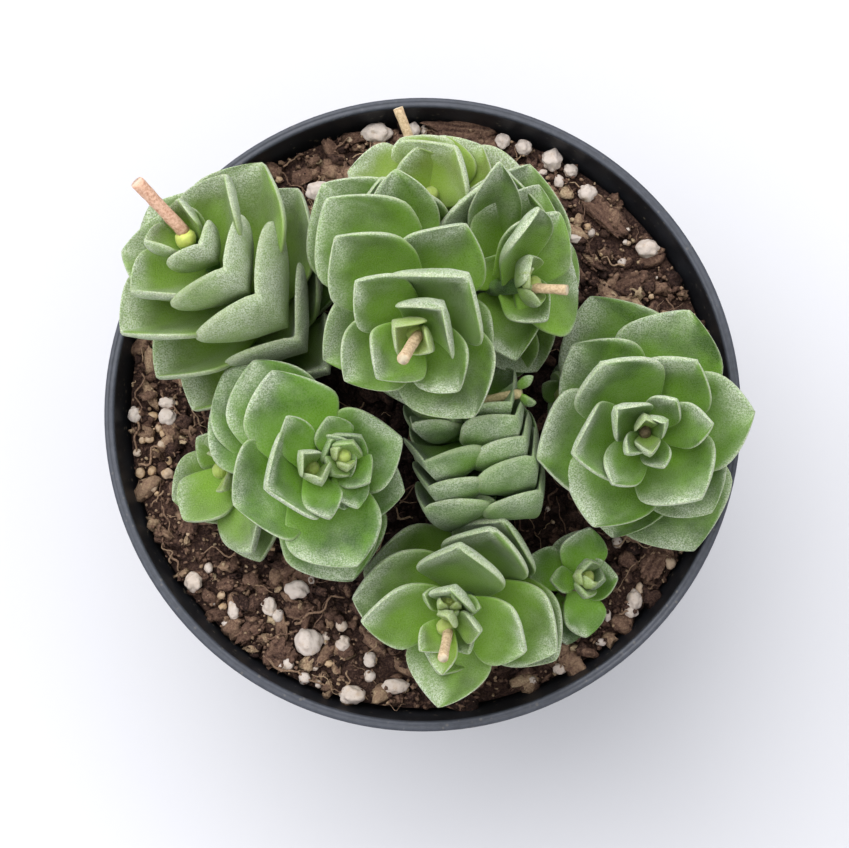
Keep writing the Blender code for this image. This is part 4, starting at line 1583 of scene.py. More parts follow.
@dataclass
class LeafyStem:
    """A plant's stems with their leaves and buds. Bark is the second of its materials."""
    name: str
    leaves: list[Leaf] = field(default_factory=list)
    sides: int = 14
    knots: int = 26
    knobble: float = 0.16
    knobble_size: float = 1.2 * MM
    bare_height: float = 7 * MM
    bud_sides: int = 14
    bud_rings: int = 10
    bud_plain_rings: int = 4
    bud_height: float = 1.15
    bud_rise: float = 0.3 * MM
    bud_knobble_size: float = 0.9 * MM
    bud_frost: float = 0.25
    seed_step: int = 31

    @property
    def habit(self) -> Habit:
        """What is particular to this plant."""
        return HABITS.get(self.name, Habit())

    def bare(self) -> BVHTree:
        """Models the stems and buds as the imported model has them.

        Returns:
            Their search tree.
        """
        bm = bmesh.new()
        for shoot in SHOOTS[self.name]:
            line = StemLine(shoot)
            line.add_stem(bm, STEM.knots, FORM.sides)
            made = bmesh.ops.create_uvsphere(
                bm, u_segments=FORM.sides, v_segments=self.bud_plain_rings, radius=STEM.bud_radius)
            bmesh.ops.translate(bm, verts=made["verts"], vec=line.tip)
        return tree_of_bmesh(bm)

    def add_bud(self, bm: BMesh, line: StemLine) -> None:
        """Adds the knobbly bud at the tip of a stem.

        Args:
            bm: Mesh to add to.
            line: The stem's line.
        """
        layers = attribute_layers(bm)
        tender, size = self.habit.bud.value
        made = bmesh.ops.create_uvsphere(
            bm, u_segments=self.bud_sides, v_segments=self.bud_rings, radius=STEM.bud_radius * size)
        bmesh.ops.scale(bm, verts=made["verts"], vec=(1.0, 1.0, self.bud_height))
        for vertex in made["verts"]:
            vertex.co *= 1 + self.knobble * noise.noise(vertex.co / self.bud_knobble_size)
            vertex[layers["tender"]] = tender
            vertex[layers["frost"]] = self.bud_frost
        bmesh.ops.translate(bm, verts=made["verts"], vec=line.tip + line.tip_way * self.bud_rise)
        for face in faces_of(made["verts"]):
            face.material_index = 1 if self.habit.bud is Bud.DRY else 0

    def build(self, finishes: Sequence[Material]) -> None:
        """Models the whole plant.

        Args:
            finishes: The leaf's and the bark's material.
        """
        heap = Heap()
        for shoot in SHOOTS[self.name]:
            bm = bmesh.new()
            attribute_layers(bm)
            line = StemLine(shoot)
            made = line.add_stem(
                bm, self.knots, self.sides,
                lambda place: self.knobble * noise.noise(place / self.knobble_size))
            for face in faces_of(made):
                low = face.calc_center_median().z < line.root.z + self.bare_height
                face.material_index = 1 if low else 0
            self.add_bud(bm, line)
            heap.pour(bm)
        for number, leaf in enumerate(self.leaves):
            heap.pour(FineLeaf(leaf, number * self.seed_step + len(self.name), self.habit).skin())
        add_piece("leafy_" + self.name, heap.take(), finishes, (self.name,))


@dataclass
class DryStalk:
    """A withered flower stalk, broken off or still with its bracts."""
    name: str
    start: Vector
    end: Vector
    bracts: tuple
    girth: float
    sides: int = 18
    rings: int = 14
    crackle: float = 0.1
    crackle_size: float = 0.7 * MM
    # Share of the radius, depth below the lip and darkness of each ring on the broken end
    # The darkest ring, at the bottom of the hole, is painted shade; the dark ring near two thirds of
    # the radius is the stalk's own
    cut_end: tuple[tuple[float, float, float], ...] = (
        (0.93, -0.04 * MM, 0.0), (0.76, 0.0, 0.1), (0.66, 0.12 * MM, 0.9), (0.56, 0.06 * MM, 0.2),
        (0.4, 0.02 * MM, 0.0), (0.27, 0.08 * MM, 0.3), (0.2, 0.35 * MM, 1.0))
    bract_width: float = 1.9 * MM
    bract_cup: float = 0.5
    bract_fold: float = 1.2
    bract_sag: float = 0.07
    bract_rank: int = 2
    bract_seed: int = 900

    def build(self, finishes: Sequence[Material]) -> None:
        """Models the stalk.

        Args:
            finishes: Material of the dry stalk and of its bracts.
        """
        bm = bmesh.new()
        layers = attribute_layers(bm)
        way = (self.end - self.start).normalized()
        points = []
        radii = []
        for step in range(self.rings + 1):
            share = step / self.rings
            sag = Vector((0.0, 0.0, STEM.stalk_sag * math.sin(math.pi * share)))
            points.append(self.start.lerp(self.end, share) + sag)
            waist = STEM.stalk_waist + (1 - STEM.stalk_waist) * abs(2 * share - 1)
            radii.append(STEM.stalk_radius * waist * self.girth)
        lip, radius = points[-1], radii[-1]
        for share, depth, _ in self.cut_end:
            points.append(lip - way * depth)
            radii.append(radius * share)
        made = add_tube(
            bm, points, radii, self.sides,
            lambda place: self.crackle * noise.noise(place / self.crackle_size))
        for number, (_, _, ring) in enumerate(self.cut_end):
            start = (self.rings + 1 + number) * self.sides
            for vertex in made[start:start + self.sides]:
                vertex[layers["end"]] = 1.0
                vertex[layers["ring"]] = ring
        heap = Heap()
        heap.pour(bm)
        for number, (base, tip) in enumerate(self.bracts):
            leaf = Leaf(
                VIEW.place(*base), VIEW.place(*tip), way, self.bract_width, self.bract_cup,
                self.bract_fold, self.bract_sag, True, self.bract_rank)
            heap.pour(FineLeaf(leaf, self.bract_seed + number, Habit()).skin(finish=1))
        add_piece("dry_" + self.name, heap.take(), finishes, (self.name,))


@dataclass
class NurseryPot:
    """Round black plastic pot with a turned collar."""
    sizes: PotSizes = POT
    segments: int = 160
    arc_steps: int = 5
    inner_steps: int = 12
    outer_steps: int = 10
    chamfer: float = 0.3
    inner_relief: float = 0.03 * MM
    # Share of the rim's flat top and depth below it, for each point of its fine groove
    groove: tuple[Span, ...] = ((0.3, 0.0), (0.5, 0.12 * MM), (0.7, 0.0))
    nearness: float = 0.01 * MM
    collar_dust: float = 0.3
    hole_sides: int = 40

    def arc(self) -> list[Span]:
        """Sine and cosine gap of each step of a quarter turn, for the rounded edges."""
        turns = [math.pi / 2 * step / self.arc_steps for step in range(self.arc_steps + 1)]
        return [(1 - math.cos(turn), 1 - math.sin(turn)) for turn in turns]

    def profile(self) -> list[Span]:
        """Draws the outline, from the inside of the floor over the rim to the underside.

        Returns:
            Radius and height of each point.
        """
        sizes = self.sizes
        rim = sizes.rim_diameter / 2
        top = sizes.height
        collar = top - sizes.collar_height
        soft = sizes.edge_round
        bevel = soft * self.chamfer
        inner = rim - sizes.rim_width
        skirt = rim - sizes.collar_taper
        foot = sizes.base_diameter / 2
        flat = sizes.rim_width - 2 * soft
        heights = [
            sizes.floor + (collar - sizes.floor) * step / self.inner_steps
            for step in range(self.inner_steps + 1)]
        rows = [(sizes.wall_radius(height), height) for height in heights]
        rows.append((inner - self.inner_relief, top - 3 * soft))
        rows += [(inner + soft * far, top - soft * near) for far, near in self.arc()]
        rows += [(inner + soft + flat * share, top - depth) for share, depth in self.groove]
        rows += [(rim - soft * near, top - soft * far) for far, near in self.arc()]
        rows += [(skirt, collar + soft), (skirt - bevel, collar + bevel), (skirt - soft, collar)]
        body = sizes.body_radius(collar)
        rows += [(body + bevel, collar), (body, collar - bevel)]
        for step in range(1, self.outer_steps):
            height = collar * (1 - step / self.outer_steps)
            rows.append((sizes.body_radius(height), height))
        return rows + [(foot, soft), (foot - bevel, bevel), (foot - soft, 0.0)]

    def build(self, finish: Material) -> None:
        """Turns the pot on a lathe, caps its floor and drills its drain holes.

        Args:
            finish: The pot's plastic.
        """
        sizes = self.sizes
        bm = lathe(self.profile(), self.segments)
        for height in (sizes.floor, 0.0):
            rim = [edge for edge in bm.edges if edge.is_boundary
                   and all(abs(vertex.co.z - height) < self.nearness for vertex in edge.verts)]
            bmesh.ops.contextual_create(bm, geom=rim)
        bmesh.ops.recalc_face_normals(bm, faces=bm.faces)
        layers = bm.verts.layers.float
        inner, rim = layers.new("inner"), layers.new("rim")
        for vertex in bm.verts:
            height = vertex.co.z
            inside = vertex.co.xy.length < sizes.wall_radius(height) + sizes.edge_round
            below = sizes.floor / 2 < height < sizes.height - sizes.edge_round
            low = height < sizes.height - sizes.collar_height / 2
            vertex[inner] = (1.0 if low else self.collar_dust) * (inside and below)
            # Share of scuffing and painted highlight on the top of the rim
            vertex[rim] = ease(height, (sizes.height - 2 * sizes.edge_round, sizes.height))
        self.drill(add_piece("pot_shell", bm, (finish,), ("pot",)))

    def drill(self, piece: Object) -> None:
        """Cuts the drain holes through the floor.

        Args:
            piece: The pot.
        """
        sizes = self.sizes
        bits = bmesh.new()
        for hole in range(sizes.drain_holes):
            turn = 2 * math.pi * (hole + 0.5) / sizes.drain_holes
            way = Vector((math.cos(turn), math.sin(turn), 0.0))
            made = bmesh.ops.create_cone(
                bits, cap_ends=True, segments=self.hole_sides, radius1=sizes.drain_diameter / 2,
                radius2=sizes.drain_diameter / 2, depth=sizes.floor * 3)
            middle = way * sizes.drain_circle + Vector((0.0, 0.0, sizes.floor / 2))
            bmesh.ops.translate(bits, verts=made["verts"], vec=middle)
        mesh = bpy.data.meshes.new("drain_bits")
        bits.to_mesh(mesh)
        bits.free()
        tool = add_object("drain_bits", mesh)
        cut = piece.modifiers.new("drain_holes", "BOOLEAN")
        cut.operation = "DIFFERENCE"
        cut.solver = "EXACT"
        cut.object = tool
        bpy.context.view_layer.update()
        shaped = bpy.data.meshes.new_from_object(
            piece.evaluated_get(bpy.context.evaluated_depsgraph_get()))
        piece.modifiers.remove(cut)
        old = piece.data
        piece.data = shaped
        bpy.data.meshes.remove(old)
        bpy.data.objects.remove(tool)
        shaped.name = "pot_shell"


# Middle, width and height in the photograph of each pale grain, and for tan ones their stain
GRAINS = (
    (377, 134, 30, 21), (413, 127, 15, 16), (424, 127, 7, 12), (523, 149, 17, 16),
    (552, 161, 21, 22), (572, 169, 15, 14), (540, 173, 15, 8), (587, 194, 19, 18),
    (559, 182, 11, 14), (591, 233, 9, 9), (575, 239, 16, 11), (503, 141, 15, 16),
    (320, 193, 28, 20), (647, 250, 24, 19), (623, 262, 10, 9), (194, 582, 17, 20),
    (209, 568, 9, 11), (212, 601, 8, 10), (234, 610, 13, 20), (226, 624, 9, 8),
    (270, 606, 14, 19), (278, 615, 12, 14), (297, 590, 24, 19), (309, 642, 29, 27),
    (343, 643, 14, 16), (326, 638, 8, 13), (342, 626, 12, 12), (315, 667, 7, 8),
    (303, 683, 12, 12), (316, 691, 7, 9), (325, 695, 7, 8), (352, 698, 26, 19),
    (396, 686, 27, 15), (370, 660, 13, 16), (370, 676, 12, 12), (289, 664, 12, 13),
    (279, 671, 7, 8), (617, 542, 11, 12), (631, 612, 14, 11), (634, 600, 15, 20),
    (607, 616, 8, 13), (604, 647, 11, 8), (564, 677, 13, 12), (532, 681, 10, 9),
    (135, 415, 14, 16), (168, 403, 18, 12), (168, 417, 19, 17), (153, 416, 11, 9, 0.9),
    (159, 428, 8, 9, 0.8), (149, 439, 10, 8, 0.9), (162, 445, 10, 9, 0.7), (140, 473, 10, 11, 0.8),
    (152, 471, 9, 10, 0.9), (168, 474, 13, 11, 0.7), (137, 453, 9, 8, 0.5), (150, 434, 8, 9, 0.8),
    (163, 434, 7, 8, 0.9), (169, 461, 7, 9, 0.9), (155, 452, 9, 7, 1.0), (153, 488, 10, 10, 0.6),
    (142, 440, 7, 8, 0.9), (154, 395, 8, 8, 0.8), (673, 565, 11, 13, 0.6), (640, 589, 9, 13, 0.5),
    (350, 139, 8, 7, 0.7), (628, 243, 7, 6, 0.4), (640, 262, 7, 8, 0.5))
# Start and end in the photograph of each root or twig that shows
TWIGS = (
    ((128, 467), (167, 447)), ((125, 413), (133, 453)), ((166, 430), (176, 457)),
    ((162, 555), (174, 576)), ((295, 624), (345, 598)), ((255, 668), (329, 704)))
# Middle, length and width in the photograph, and heading in degrees, of each large bark chip
CHIPS = (
    (464, 132, 66, 24, -5), (279, 654, 30, 24, 60), (226, 585, 16, 12, 20), (605, 215, 46, 22, -40),
    (630, 285, 34, 18, 30), (655, 560, 36, 22, 60), (190, 520, 30, 18, 70), (250, 630, 26, 16, 40))


@dataclass(frozen=True)
class Crumbs:
    """One kind of crumb: a span holds its least and its most, and tones shape a beta curve."""
    name: str
    count: int
    size: Span
    size_power: int
    rise: Span
    thickness: Span
    tones: Span
    finer: int
    rough: float
    width: Span = (0.5, 1.0)


PEAT = Crumbs(
    "compost_crumbs", 2200, size=(0.45 * MM, 1.65 * MM), size_power=2, rise=(-0.4 * MM, 0.9 * MM),
    thickness=(0.35, 0.85), tones=(1.8, 3.2), finer=2, rough=1.1)
DUST = Crumbs(
    "compost_dust", 6000, size=(0.15 * MM, 0.5 * MM), size_power=1, rise=(0.0, 1.5 * MM),
    thickness=(0.4, 1.0), tones=(1.8, 2.6), finer=1, rough=0.5)


@dataclass(frozen=True)
class BarkLumps:
    """Rounded, stringy lumps of composted bark."""
    count: int = 260
    length: Span = (1.3 * MM, 3.4 * MM)
    width: Span = (0.8 * MM, 1.5 * MM)
    thickness: float = 0.8
    rise: float = 0.3
    tilt: Span = (-0.5, 0.5)
    tones: Span = (2.6, 3.2)
    finer: int = 2
    rough: float = 0.5
    strand_size: float = 0.45 * MM
    strand_stretch: float = 3.0
    strand_depth: float = 0.25
    strand_tone: float = 0.35


@dataclass(frozen=True)
class BarkChips:
    """Flat chips of bark, with strands along them and worn corners."""
    loose: int = 110
    length: Span = (2.2 * MM, 6.0 * MM)
    width: Span = (0.3, 0.7)
    thickness: float = 0.35
    rise: float = 0.35
    tilt: Span = (-0.35, 0.35)
    tones: Span = (2.2, 3.0)
    seen_tone: float = 0.4
    cuts: int = 3
    seen_cuts: int = 8
    uneven_grain: float = 2.4
    uneven: float = 0.4
    strand_grain: tuple[float, float, float] = (1.5, 9.0, 4.0)
    strand_length: float = 0.5
    strand_depth: float = 0.3
    strand_tone: float = 0.3
    worn: float = 0.2


@dataclass(frozen=True)
class Fibres:
    """Roots and plant fibres that wander over the compost."""
    loose: int = 270
    length: Span = (3.0 * MM, 9.0 * MM)
    radius: Span = (0.07 * MM, 0.22 * MM)
    tone: Span = (0.45, 1.0)
    seen_radius: float = 0.28 * MM
    seen_tone: float = 0.72
    inset: float = 0.6 * MM
    steps: int = 10
    sides: int = 6
    taper: float = 0.5
    wander_grain: float = 2.2
    wander: float = 0.45
    rise: float = 1.15 * MM
    arch: float = 1.2 * MM


@dataclass(frozen=True)
class Grains:
    """Grains of perlite."""
    loose: int = 70
    seen_rough: float = 0.24
    seen_rise: float = 0.75
    seen_thickness: float = 0.9
    large: int = 12
    large_finer: int = 4
    finer: int = 3
    rough: float = 0.3
    size: Span = (0.25 * MM, 0.8 * MM)
    flatness: float = 0.8
    rise: float = 0.6
    lift: float = 0.5 * MM
    stains: tuple[float, ...] = (0.0, 0.1, 0.8)
    foot: Span = (0.0, 1.4 * MM)
    foot_stain: float = 0.4
    cloud_size: float = 9.0 * MM
    cloud_stain: float = 0.4
    most_stain: float = 0.95


@dataclass
class Compost:
    """The plug of peat compost and all that lies on it."""
    finish: Material
    pale: Material
    sizes: SoilSizes = SOIL
    seed: int = 23
    rings: int = 60
    segments: int = 150
    inset: float = 0.1 * MM
    seen_inset: float = 0.8 * MM
    nearness: float = 0.01 * MM
    bed_drop: float = 0.4 * MM
    bed_grain: float = 1.6 * MM
    bed_relief: float = 0.7 * MM
    bed_tone: float = 0.12
    bed_tone_relief: float = 0.2
    noise_reach: float = 90.0
    lump_grain: float = 1.7
    # Painted shade darkens the compost towards the middle, under the plants, and dry, above 1, is
    # painted light on the outer ring
    painted_shade_reach: Span = (26 * MM, 42 * MM)
    painted_shade: float = 0.8
    dry: float = 1.34
    chance: random.Random = field(init=False)

    def __post_init__(self) -> None:
        """Starts the compost's own chances."""
        self.chance = random.Random(self.seed)

    def painted_light_and_shade(self, place: Vector) -> float:
        """Share of its tone that the compost keeps at a place: painted shade under the plants, painted
        light at the edge.
        """
        return self.dry - (self.dry - 1 + self.painted_shade) * (1 - ease(place.xy.length, self.painted_shade_reach))

    def settled(self, place: Vector, inset: float) -> Vector:
        """Moves a place inside the surface's edge and down to the surface.

        Args:
            place: The place, which is changed.
            inset: How far inside the edge it stays.

        Returns:
            The same place.
        """
        reach = self.sizes.radius() - inset
        if place.xy.length > reach:
            place.xy = place.xy.normalized() * reach
        place.z = self.sizes.level(place.x, place.y)
        return place

    def spot(self) -> Vector:
        """A chance place on the surface."""
        turn = self.chance.uniform(0.0, 2 * math.pi)
        radius = (self.sizes.radius() - self.inset) * math.sqrt(self.chance.random())
        return self.settled(Vector((radius * math.cos(turn), radius * math.sin(turn), 0.0)), 0.0)

    def seen_spot(self, x: float, y: float) -> Vector:
        """The place on the surface that the photograph shows at a pixel."""
        return self.settled(VIEW.place(x, y, -self.sizes.depth / MM), self.seen_inset)

    def shift(self, parts: int = 1) -> Vector:
        """A chance place in the noise, drawn along X or along X and Y."""
        drawn = [self.chance.uniform(0, self.noise_reach) for _ in range(parts)]
        return Vector((*drawn, 0.0, 0.0)[:3])

    def turned(self) -> Matrix:
        """A chance turn."""
        axis = Vector([self.chance.gauss(0, 1) for _ in range(3)])
        return Matrix.Rotation(self.chance.uniform(0, 2 * math.pi), 4, axis.normalized())

    def add(self, name: str, bm: BMesh, replaced: Sequence[str] = ()) -> None:
        """Adds a piece that has the compost's finish."""
        add_piece(name, bm, (self.finish,), replaced)

    def lump(self, place: Vector, size: Vector, finer: int, rough: float, value: float,
             level: bool = False) -> BMesh:
        """Models one uneven lump.

        Args:
            place: Middle of the lump.
            size: Its half sizes.
            finer: Subdivisions of its ball.
            rough: How far its skin departs from a ball.
            value: Its tone.
            level: Whether its sizes keep to the frame's axes.

        Returns:
            The lump's own mesh.
        """
        bm = bmesh.new()
        layer = bm.verts.layers.float.new("tone")
        made = bmesh.ops.create_icosphere(bm, subdivisions=finer, radius=1.0)
        shift = self.shift(2)
        for vertex in made["verts"]:
            vertex.co *= 1 + rough * noise.noise(vertex.co * self.lump_grain + shift)
            vertex[layer] = value
        turn = Matrix.Identity(4) if level else self.turned()
        shape = Matrix.Translation(place) @ turn @ Matrix.Diagonal((*size, 1.0))
        bmesh.ops.transform(bm, verts=made["verts"], matrix=shape)
        return bm

    def bed(self) -> None:
        """Models the plug itself, with its uneven surface."""
        sizes = self.sizes
        reach = sizes.radius()
        foot = POT.floor + sizes.gap
        surface = POT.height - sizes.depth
        rows = [(0.0, foot), (POT.wall_radius(foot) - sizes.wall_gap, foot), (reach, surface)]
        rows += [(reach * (1 - step / self.rings), surface) for step in range(1, self.rings + 1)]
        bm = lathe(rows, self.segments)
        bmesh.ops.remove_doubles(bm, verts=bm.verts, dist=self.nearness)
        bmesh.ops.recalc_face_normals(bm, faces=bm.faces)
        layer = bm.verts.layers.float.new("tone")
        for vertex in bm.verts:
            if vertex.co.z > surface - sizes.gap:
                near = vertex.co.xy.length < reach - self.inset
                fine = noise.noise(Vector((vertex.co.x, vertex.co.y, 0.0)) / self.bed_grain)
                level = sizes.level(vertex.co.x, vertex.co.y) - self.bed_drop
                vertex.co.z = level + fine * self.bed_relief * near
                tone = self.bed_tone + self.bed_tone_relief * max(fine, 0.0)
                # Tone times the share that paints shade under the plants and light on the outer ring
                vertex[layer] = tone * self.painted_light_and_shade(vertex.co)
        self.add("compost_bed", bm, ("soil",))

    def crumb_piece(self, kind: Crumbs) -> None:
        """Models all crumbs of one kind.

        Args:
            kind: The kind.
        """
        heap = Heap()
        for _ in range(kind.count):
            place = self.spot()
            least, most = kind.size
            size = least + (most - least) * self.chance.random() ** kind.size_power
            place.z += self.chance.uniform(*kind.rise)
            width = size * self.chance.uniform(*kind.width)
            thickness = size * self.chance.uniform(*kind.thickness)
            # Tone times the share that paints shade under the plants and light on the outer ring
            tone = self.chance.betavariate(*kind.tones) * self.painted_light_and_shade(place)
            shape = Vector((size, width, thickness))
            heap.pour(self.lump(place, shape, kind.finer, kind.rough, tone))
        self.add(kind.name, heap.take())

    def lump_piece(self, lumps: BarkLumps) -> None:
        """Models the lumps of composted bark.

        Args:
            lumps: Their sizes.
        """
        heap = Heap()
        for _ in range(lumps.count):
            place = self.spot()
            length = self.chance.uniform(*lumps.length)
            width = min(length, self.chance.uniform(*lumps.width))
            turn = Matrix.Rotation(self.chance.uniform(0, math.pi), 4, "Z")
            turn = turn @ Matrix.Rotation(self.chance.uniform(*lumps.tilt), 4, "Y")
            # Tone times the share that paints shade under the plants and light on the outer ring
            tone = self.chance.betavariate(*lumps.tones) * self.painted_light_and_shade(place)
            size = Vector((length, width, width * lumps.thickness))
            bm = self.lump(Vector(), size, lumps.finer, lumps.rough, tone, level=True)
            layer = bm.verts.layers.float["tone"]
            shift = self.shift()
            for vertex in bm.verts:
                run = Vector((vertex.co.x / lumps.strand_stretch, vertex.co.y, vertex.co.z))
                strand = noise.noise(run / lumps.strand_size + shift)
                vertex.co.yz *= 1 + lumps.strand_depth * strand
                vertex[layer] = clamp(vertex[layer] + lumps.strand_tone * strand)
            place.z += width * lumps.rise
            bmesh.ops.transform(bm, verts=bm.verts, matrix=Matrix.Translation(place) @ turn)
            heap.pour(bm)
        self.add("bark_lumps", heap.take())

    def chip_piece(self, chips: BarkChips) -> None:
        """Models the chips of bark, the large ones where the photograph shows them.

        Args:
            chips: Their sizes.
        """
        heap = Heap()
        scale = VIEW.distance / VIEW.focus
        sheets = [
            (self.seen_spot(x, y), length * scale, width * scale, math.radians(heading),
             chips.seen_cuts, chips.seen_tone)
            for x, y, length, width, heading in CHIPS]
        for _ in range(chips.loose):
            length = self.chance.uniform(*chips.length)
            sheets.append((
                self.spot(), length, length * self.chance.uniform(*chips.width),
                self.chance.uniform(0, math.pi), chips.cuts, self.chance.betavariate(*chips.tones)))
        for place, length, width, heading, cuts, tone in sheets:
            bm = self.chip(chips, cuts, tone)
            thick = width * chips.thickness
            place.z += thick * chips.rise
            turn = Matrix.Rotation(heading, 4, "Z")
            turn = turn @ Matrix.Rotation(self.chance.uniform(*chips.tilt), 4, "Y")
            shape = Matrix.Translation(place) @ turn @ Matrix.Diagonal((length, width, thick, 1.0))
            bmesh.ops.transform(bm, verts=bm.verts, matrix=shape)
            heap.pour(bm)
        self.add("bark_chips", heap.take())

    def chip(self, chips: BarkChips, cuts: int, tone: float) -> BMesh:
        """Models one chip, a unit long, wide and thick.

        Args:
            chips: What is common to the chips.
            cuts: Cuts across each of its sides.
            tone: Its tone.

        Returns:
            The chip's own mesh.
        """
        bm = bmesh.new()
        layer = bm.verts.layers.float.new("tone")
        bmesh.ops.create_cube(bm, size=1.0)
        bmesh.ops.subdivide_edges(bm, edges=bm.edges[:], cuts=cuts, use_grid_fill=True)
        shift = self.shift()
        grain = Vector(chips.strand_grain)
        for vertex in bm.verts:
            uneven = noise.noise(vertex.co * chips.uneven_grain + shift)
            strands = noise.noise(vertex.co * grain + shift)
            corner = (2 * vertex.co.x * 2 * vertex.co.y) ** 2
            vertex.co.xy *= (1 + chips.uneven * uneven) * (1 - chips.worn * corner)
            vertex.co.x *= 1 + chips.strand_length * strands
            vertex.co.z += chips.strand_depth * strands
            vertex[layer] = clamp(tone + chips.strand_tone * strands)
        return bm

    def fibre_piece(self, fibres: Fibres) -> None:
        """Models the roots and plant fibres that lie on the compost.

        Args:
            fibres: Their sizes.
        """
        heap = Heap()
        runs = [
            (self.seen_spot(*start), self.seen_spot(*end), fibres.seen_radius, fibres.seen_tone)
            for start, end in TWIGS]
        for _ in range(fibres.loose):
            start = self.spot()
            length = self.chance.uniform(*fibres.length)
            turn = self.chance.uniform(0, 2 * math.pi)
            end = start + Vector((math.cos(turn), math.sin(turn), 0.0)) * length
            runs.append((
                start, self.settled(end, fibres.inset), self.chance.uniform(*fibres.radius),
                self.chance.uniform(*fibres.tone)))
        for start, end, radius, tone in runs:
            heap.pour(self.fibre(fibres, start, end, radius, tone))
        self.add("root_fibres", heap.take())

    def fibre(self, fibres: Fibres, start: Vector, end: Vector, radius: float,
              tone: float) -> BMesh:
        """Models one fibre that wanders along the surface.

        Args:
            fibres: What is common to the fibres.
            start: Where it starts.
            end: Where it ends.
            radius: Its radius at the start.
            tone: Its tone.

        Returns:
            The fibre's own mesh.
        """
        bm = bmesh.new()
        layer = bm.verts.layers.float.new("tone")
        shift = self.shift()
        side = (end - start).cross(Vector((0, 0, 1)))
        points = []
        radii = []
        for step in range(fibres.steps + 1):
            share = step / fibres.steps
            swing = math.sin(math.pi * share)
            wander = noise.noise(Vector((share * fibres.wander_grain, 0, 0)) + shift) * swing
            point = start.lerp(end, share) + side * wander * fibres.wander
            level = self.sizes.level(point.x, point.y)
            point.z = level + fibres.rise + swing * abs(wander) * fibres.arch
            points.append(point)
            radii.append(radius * (1 - fibres.taper * share))
        for vertex in add_tube(bm, points, radii, fibres.sides):
            vertex[layer] = tone
        return bm

    def grain_piece(self, grains: Grains) -> None:
        """Models the grains of perlite, those in the photograph and some loose small ones.

        Args:
            grains: Their sizes.
        """
        heap = Heap()
        scale = VIEW.distance / VIEW.focus / 2
        for x, y, width, height, *stain in GRAINS:
            place = self.seen_spot(x, y)
            low = min(width, height) * scale
            place.z += low * grains.seen_rise
            shape = Vector((width * scale, height * scale, low * grains.seen_thickness))
            finer = grains.large_finer if width > grains.large else grains.finer
            tone = stain[0] if stain else 0.0
            heap.pour(self.lump(place, shape, finer, grains.seen_rough, tone, level=True))
        for _ in range(grains.loose):
            place = self.spot()
            size = self.chance.uniform(*grains.size)
            place.z += size * grains.rise + grains.lift
            tone = self.chance.choice(grains.stains)
            shape = Vector((size, size * grains.flatness, size * grains.flatness))
            heap.pour(self.lump(place, shape, grains.finer, grains.rough, tone))
        bm = heap.take()
        layers = bm.verts.layers.float
        tone, stain = layers.get("tone"), layers.new("stain")
        for vertex in bm.verts:
            height = vertex.co.z - self.sizes.level(vertex.co.x, vertex.co.y)
            low = grains.foot_stain * (1 - ease(height, grains.foot))
            cloud = noise.noise(vertex.co / grains.cloud_size) * grains.cloud_stain
            vertex[stain] = clamp(vertex[tone] + low + cloud, 0.0, grains.most_stain)
        add_piece("perlite_grains", bm, (self.pale,))

    def build(self) -> None:
        """Models all the pieces."""
        self.bed()
        self.crumb_piece(PEAT)
        self.lump_piece(BarkLumps())
        self.crumb_piece(DUST)
        self.chip_piece(BarkChips())
        self.fibre_piece(Fibres())
        self.grain_piece(Grains())


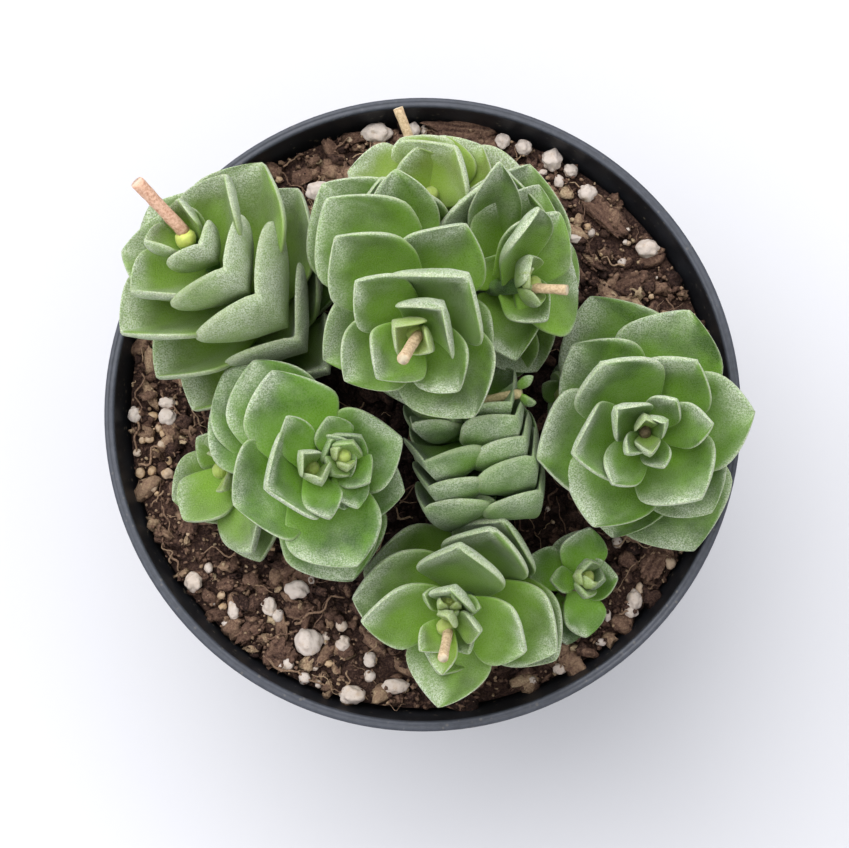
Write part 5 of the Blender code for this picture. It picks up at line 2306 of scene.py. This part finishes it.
@dataclass(frozen=True)
class Studio:
    """Pale paper floor and plain soft light from the photograph's upper left."""
    paper: Colour = srgb(204, 204, 208)
    floor_size: float = 6.0
    sky: Colour = (0.97, 0.98, 1.0)
    sky_above: float = 1.15
    sky_level: float = 0.62
    key_way: tuple[float, float, float] = (-0.45, 0.6, 1.15)
    key_reach: float = 1.8
    key_size: float = 1.9
    key_power: float = 29.6
    grain: Cloud = Cloud(2.0 * MM, 3.0)
    grain_colour: Colour = (0.8, 0.8, 0.8)
    grain_share: float = 0.02
    roughness: float = 0.9
    gloss: float = 0.2

    def lay_floor(self) -> None:
        """Lays the paper that the pot stands on."""
        bm = bmesh.new()
        bmesh.ops.create_grid(bm, x_segments=2, y_segments=2, size=self.floor_size / 2)
        mesh = bpy.data.meshes.new("paper_floor")
        bm.to_mesh(mesh)
        bm.free()
        sheet = NodeSheet("white_paper")
        grain = sheet.step(sheet.cloud(self.grain), UNIT, (0.0, self.grain_share))
        mesh.materials.append(sheet.surface(
            Base_Color=sheet.blend(grain, self.paper, self.grain_colour),
            Roughness=self.roughness, Specular_IOR_Level=self.gloss))
        floor = add_object("paper_floor", mesh)
        floor.location.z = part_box("pot")[0].z

    def light(self) -> None:
        """Hangs the key light and sets the sky."""
        data = bpy.data.lights.new("key_softbox", "AREA")
        data.shape = "SQUARE"
        data.size = self.key_size
        data.energy = self.key_power
        lamp = add_object("key_softbox", data)
        way = Vector(self.key_way).normalized()
        lamp.location = Vector(VIEW.aim) + way * self.key_reach
        lamp.rotation_euler = way.to_track_quat("Z", "Y").to_euler()
        world = bpy.data.worlds.new("studio")
        world.use_nodes = True
        tree = world.node_tree
        sky = tree.nodes["Background"]
        sky.inputs["Color"].default_value = (*self.sky, 1.0)
        way = tree.nodes.new("ShaderNodeTexCoord")
        parts = tree.nodes.new("ShaderNodeSeparateXYZ")
        height = tree.nodes.new("ShaderNodeMapRange")
        height.inputs["To Min"].default_value = self.sky_level
        height.inputs["To Max"].default_value = self.sky_above
        tree.links.new(way.outputs["Generated"], parts.inputs["Vector"])
        tree.links.new(parts.outputs["Z"], height.inputs["Value"])
        tree.links.new(height.outputs["Result"], sky.inputs["Strength"])
        bpy.context.scene.world = world

    def build(self) -> None:
        """Sets the floor, the light and the view's plain tones."""
        self.lay_floor()
        self.light()
        bpy.context.scene.view_settings.view_transform = "Standard"
        bpy.context.scene.view_settings.look = "Medium High Contrast"


def main() -> None:
    """Builds the camera, the studio and every piece of the potted crassula in order."""
    logging.basicConfig(level=logging.INFO, format="%(message)s")
    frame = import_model()
    VIEW.camera()
    Studio().build()
    leaf = LeafFinish().material()
    bark = OLD_BARK.material()
    stalks = {finish: finish.material() for finish in (TAN_STALK, PINK_STALK, GREEN_STALK)}
    NurseryPot().build(PlasticFinish().material())
    Compost(CompostFinish().material(), PerliteFinish().material()).build()
    plants = {name: LeafyStem(name) for name in SHOOTS}
    still = [tree_of_mesh(frame["nodes"][name].data) for name in ("pot", "soil")]
    bare = {name: plant.bare() for name, plant in plants.items()}
    fixed = {
        name: still + [tree for other, tree in bare.items() if other != name] for name in SHOOTS}
    settled = Arrangement(fixed).leaves
    for name, plant in plants.items():
        plant.leaves = settled[name]
        plant.build((leaf, bark))
        for shoot in SHOOTS[name]:
            if shoot.stalk:
                start, end = (VIEW.place(*place) for place in shoot.stalk)
                stalk = DryStalk(
                    name.replace("stem", "stalk"), start, end, shoot.bracts, plant.habit.girth)
                stalk.build((stalks[plant.habit.stalk], leaf))
    LOG.info("all pieces built")


if __name__ == "__main__":
    main()
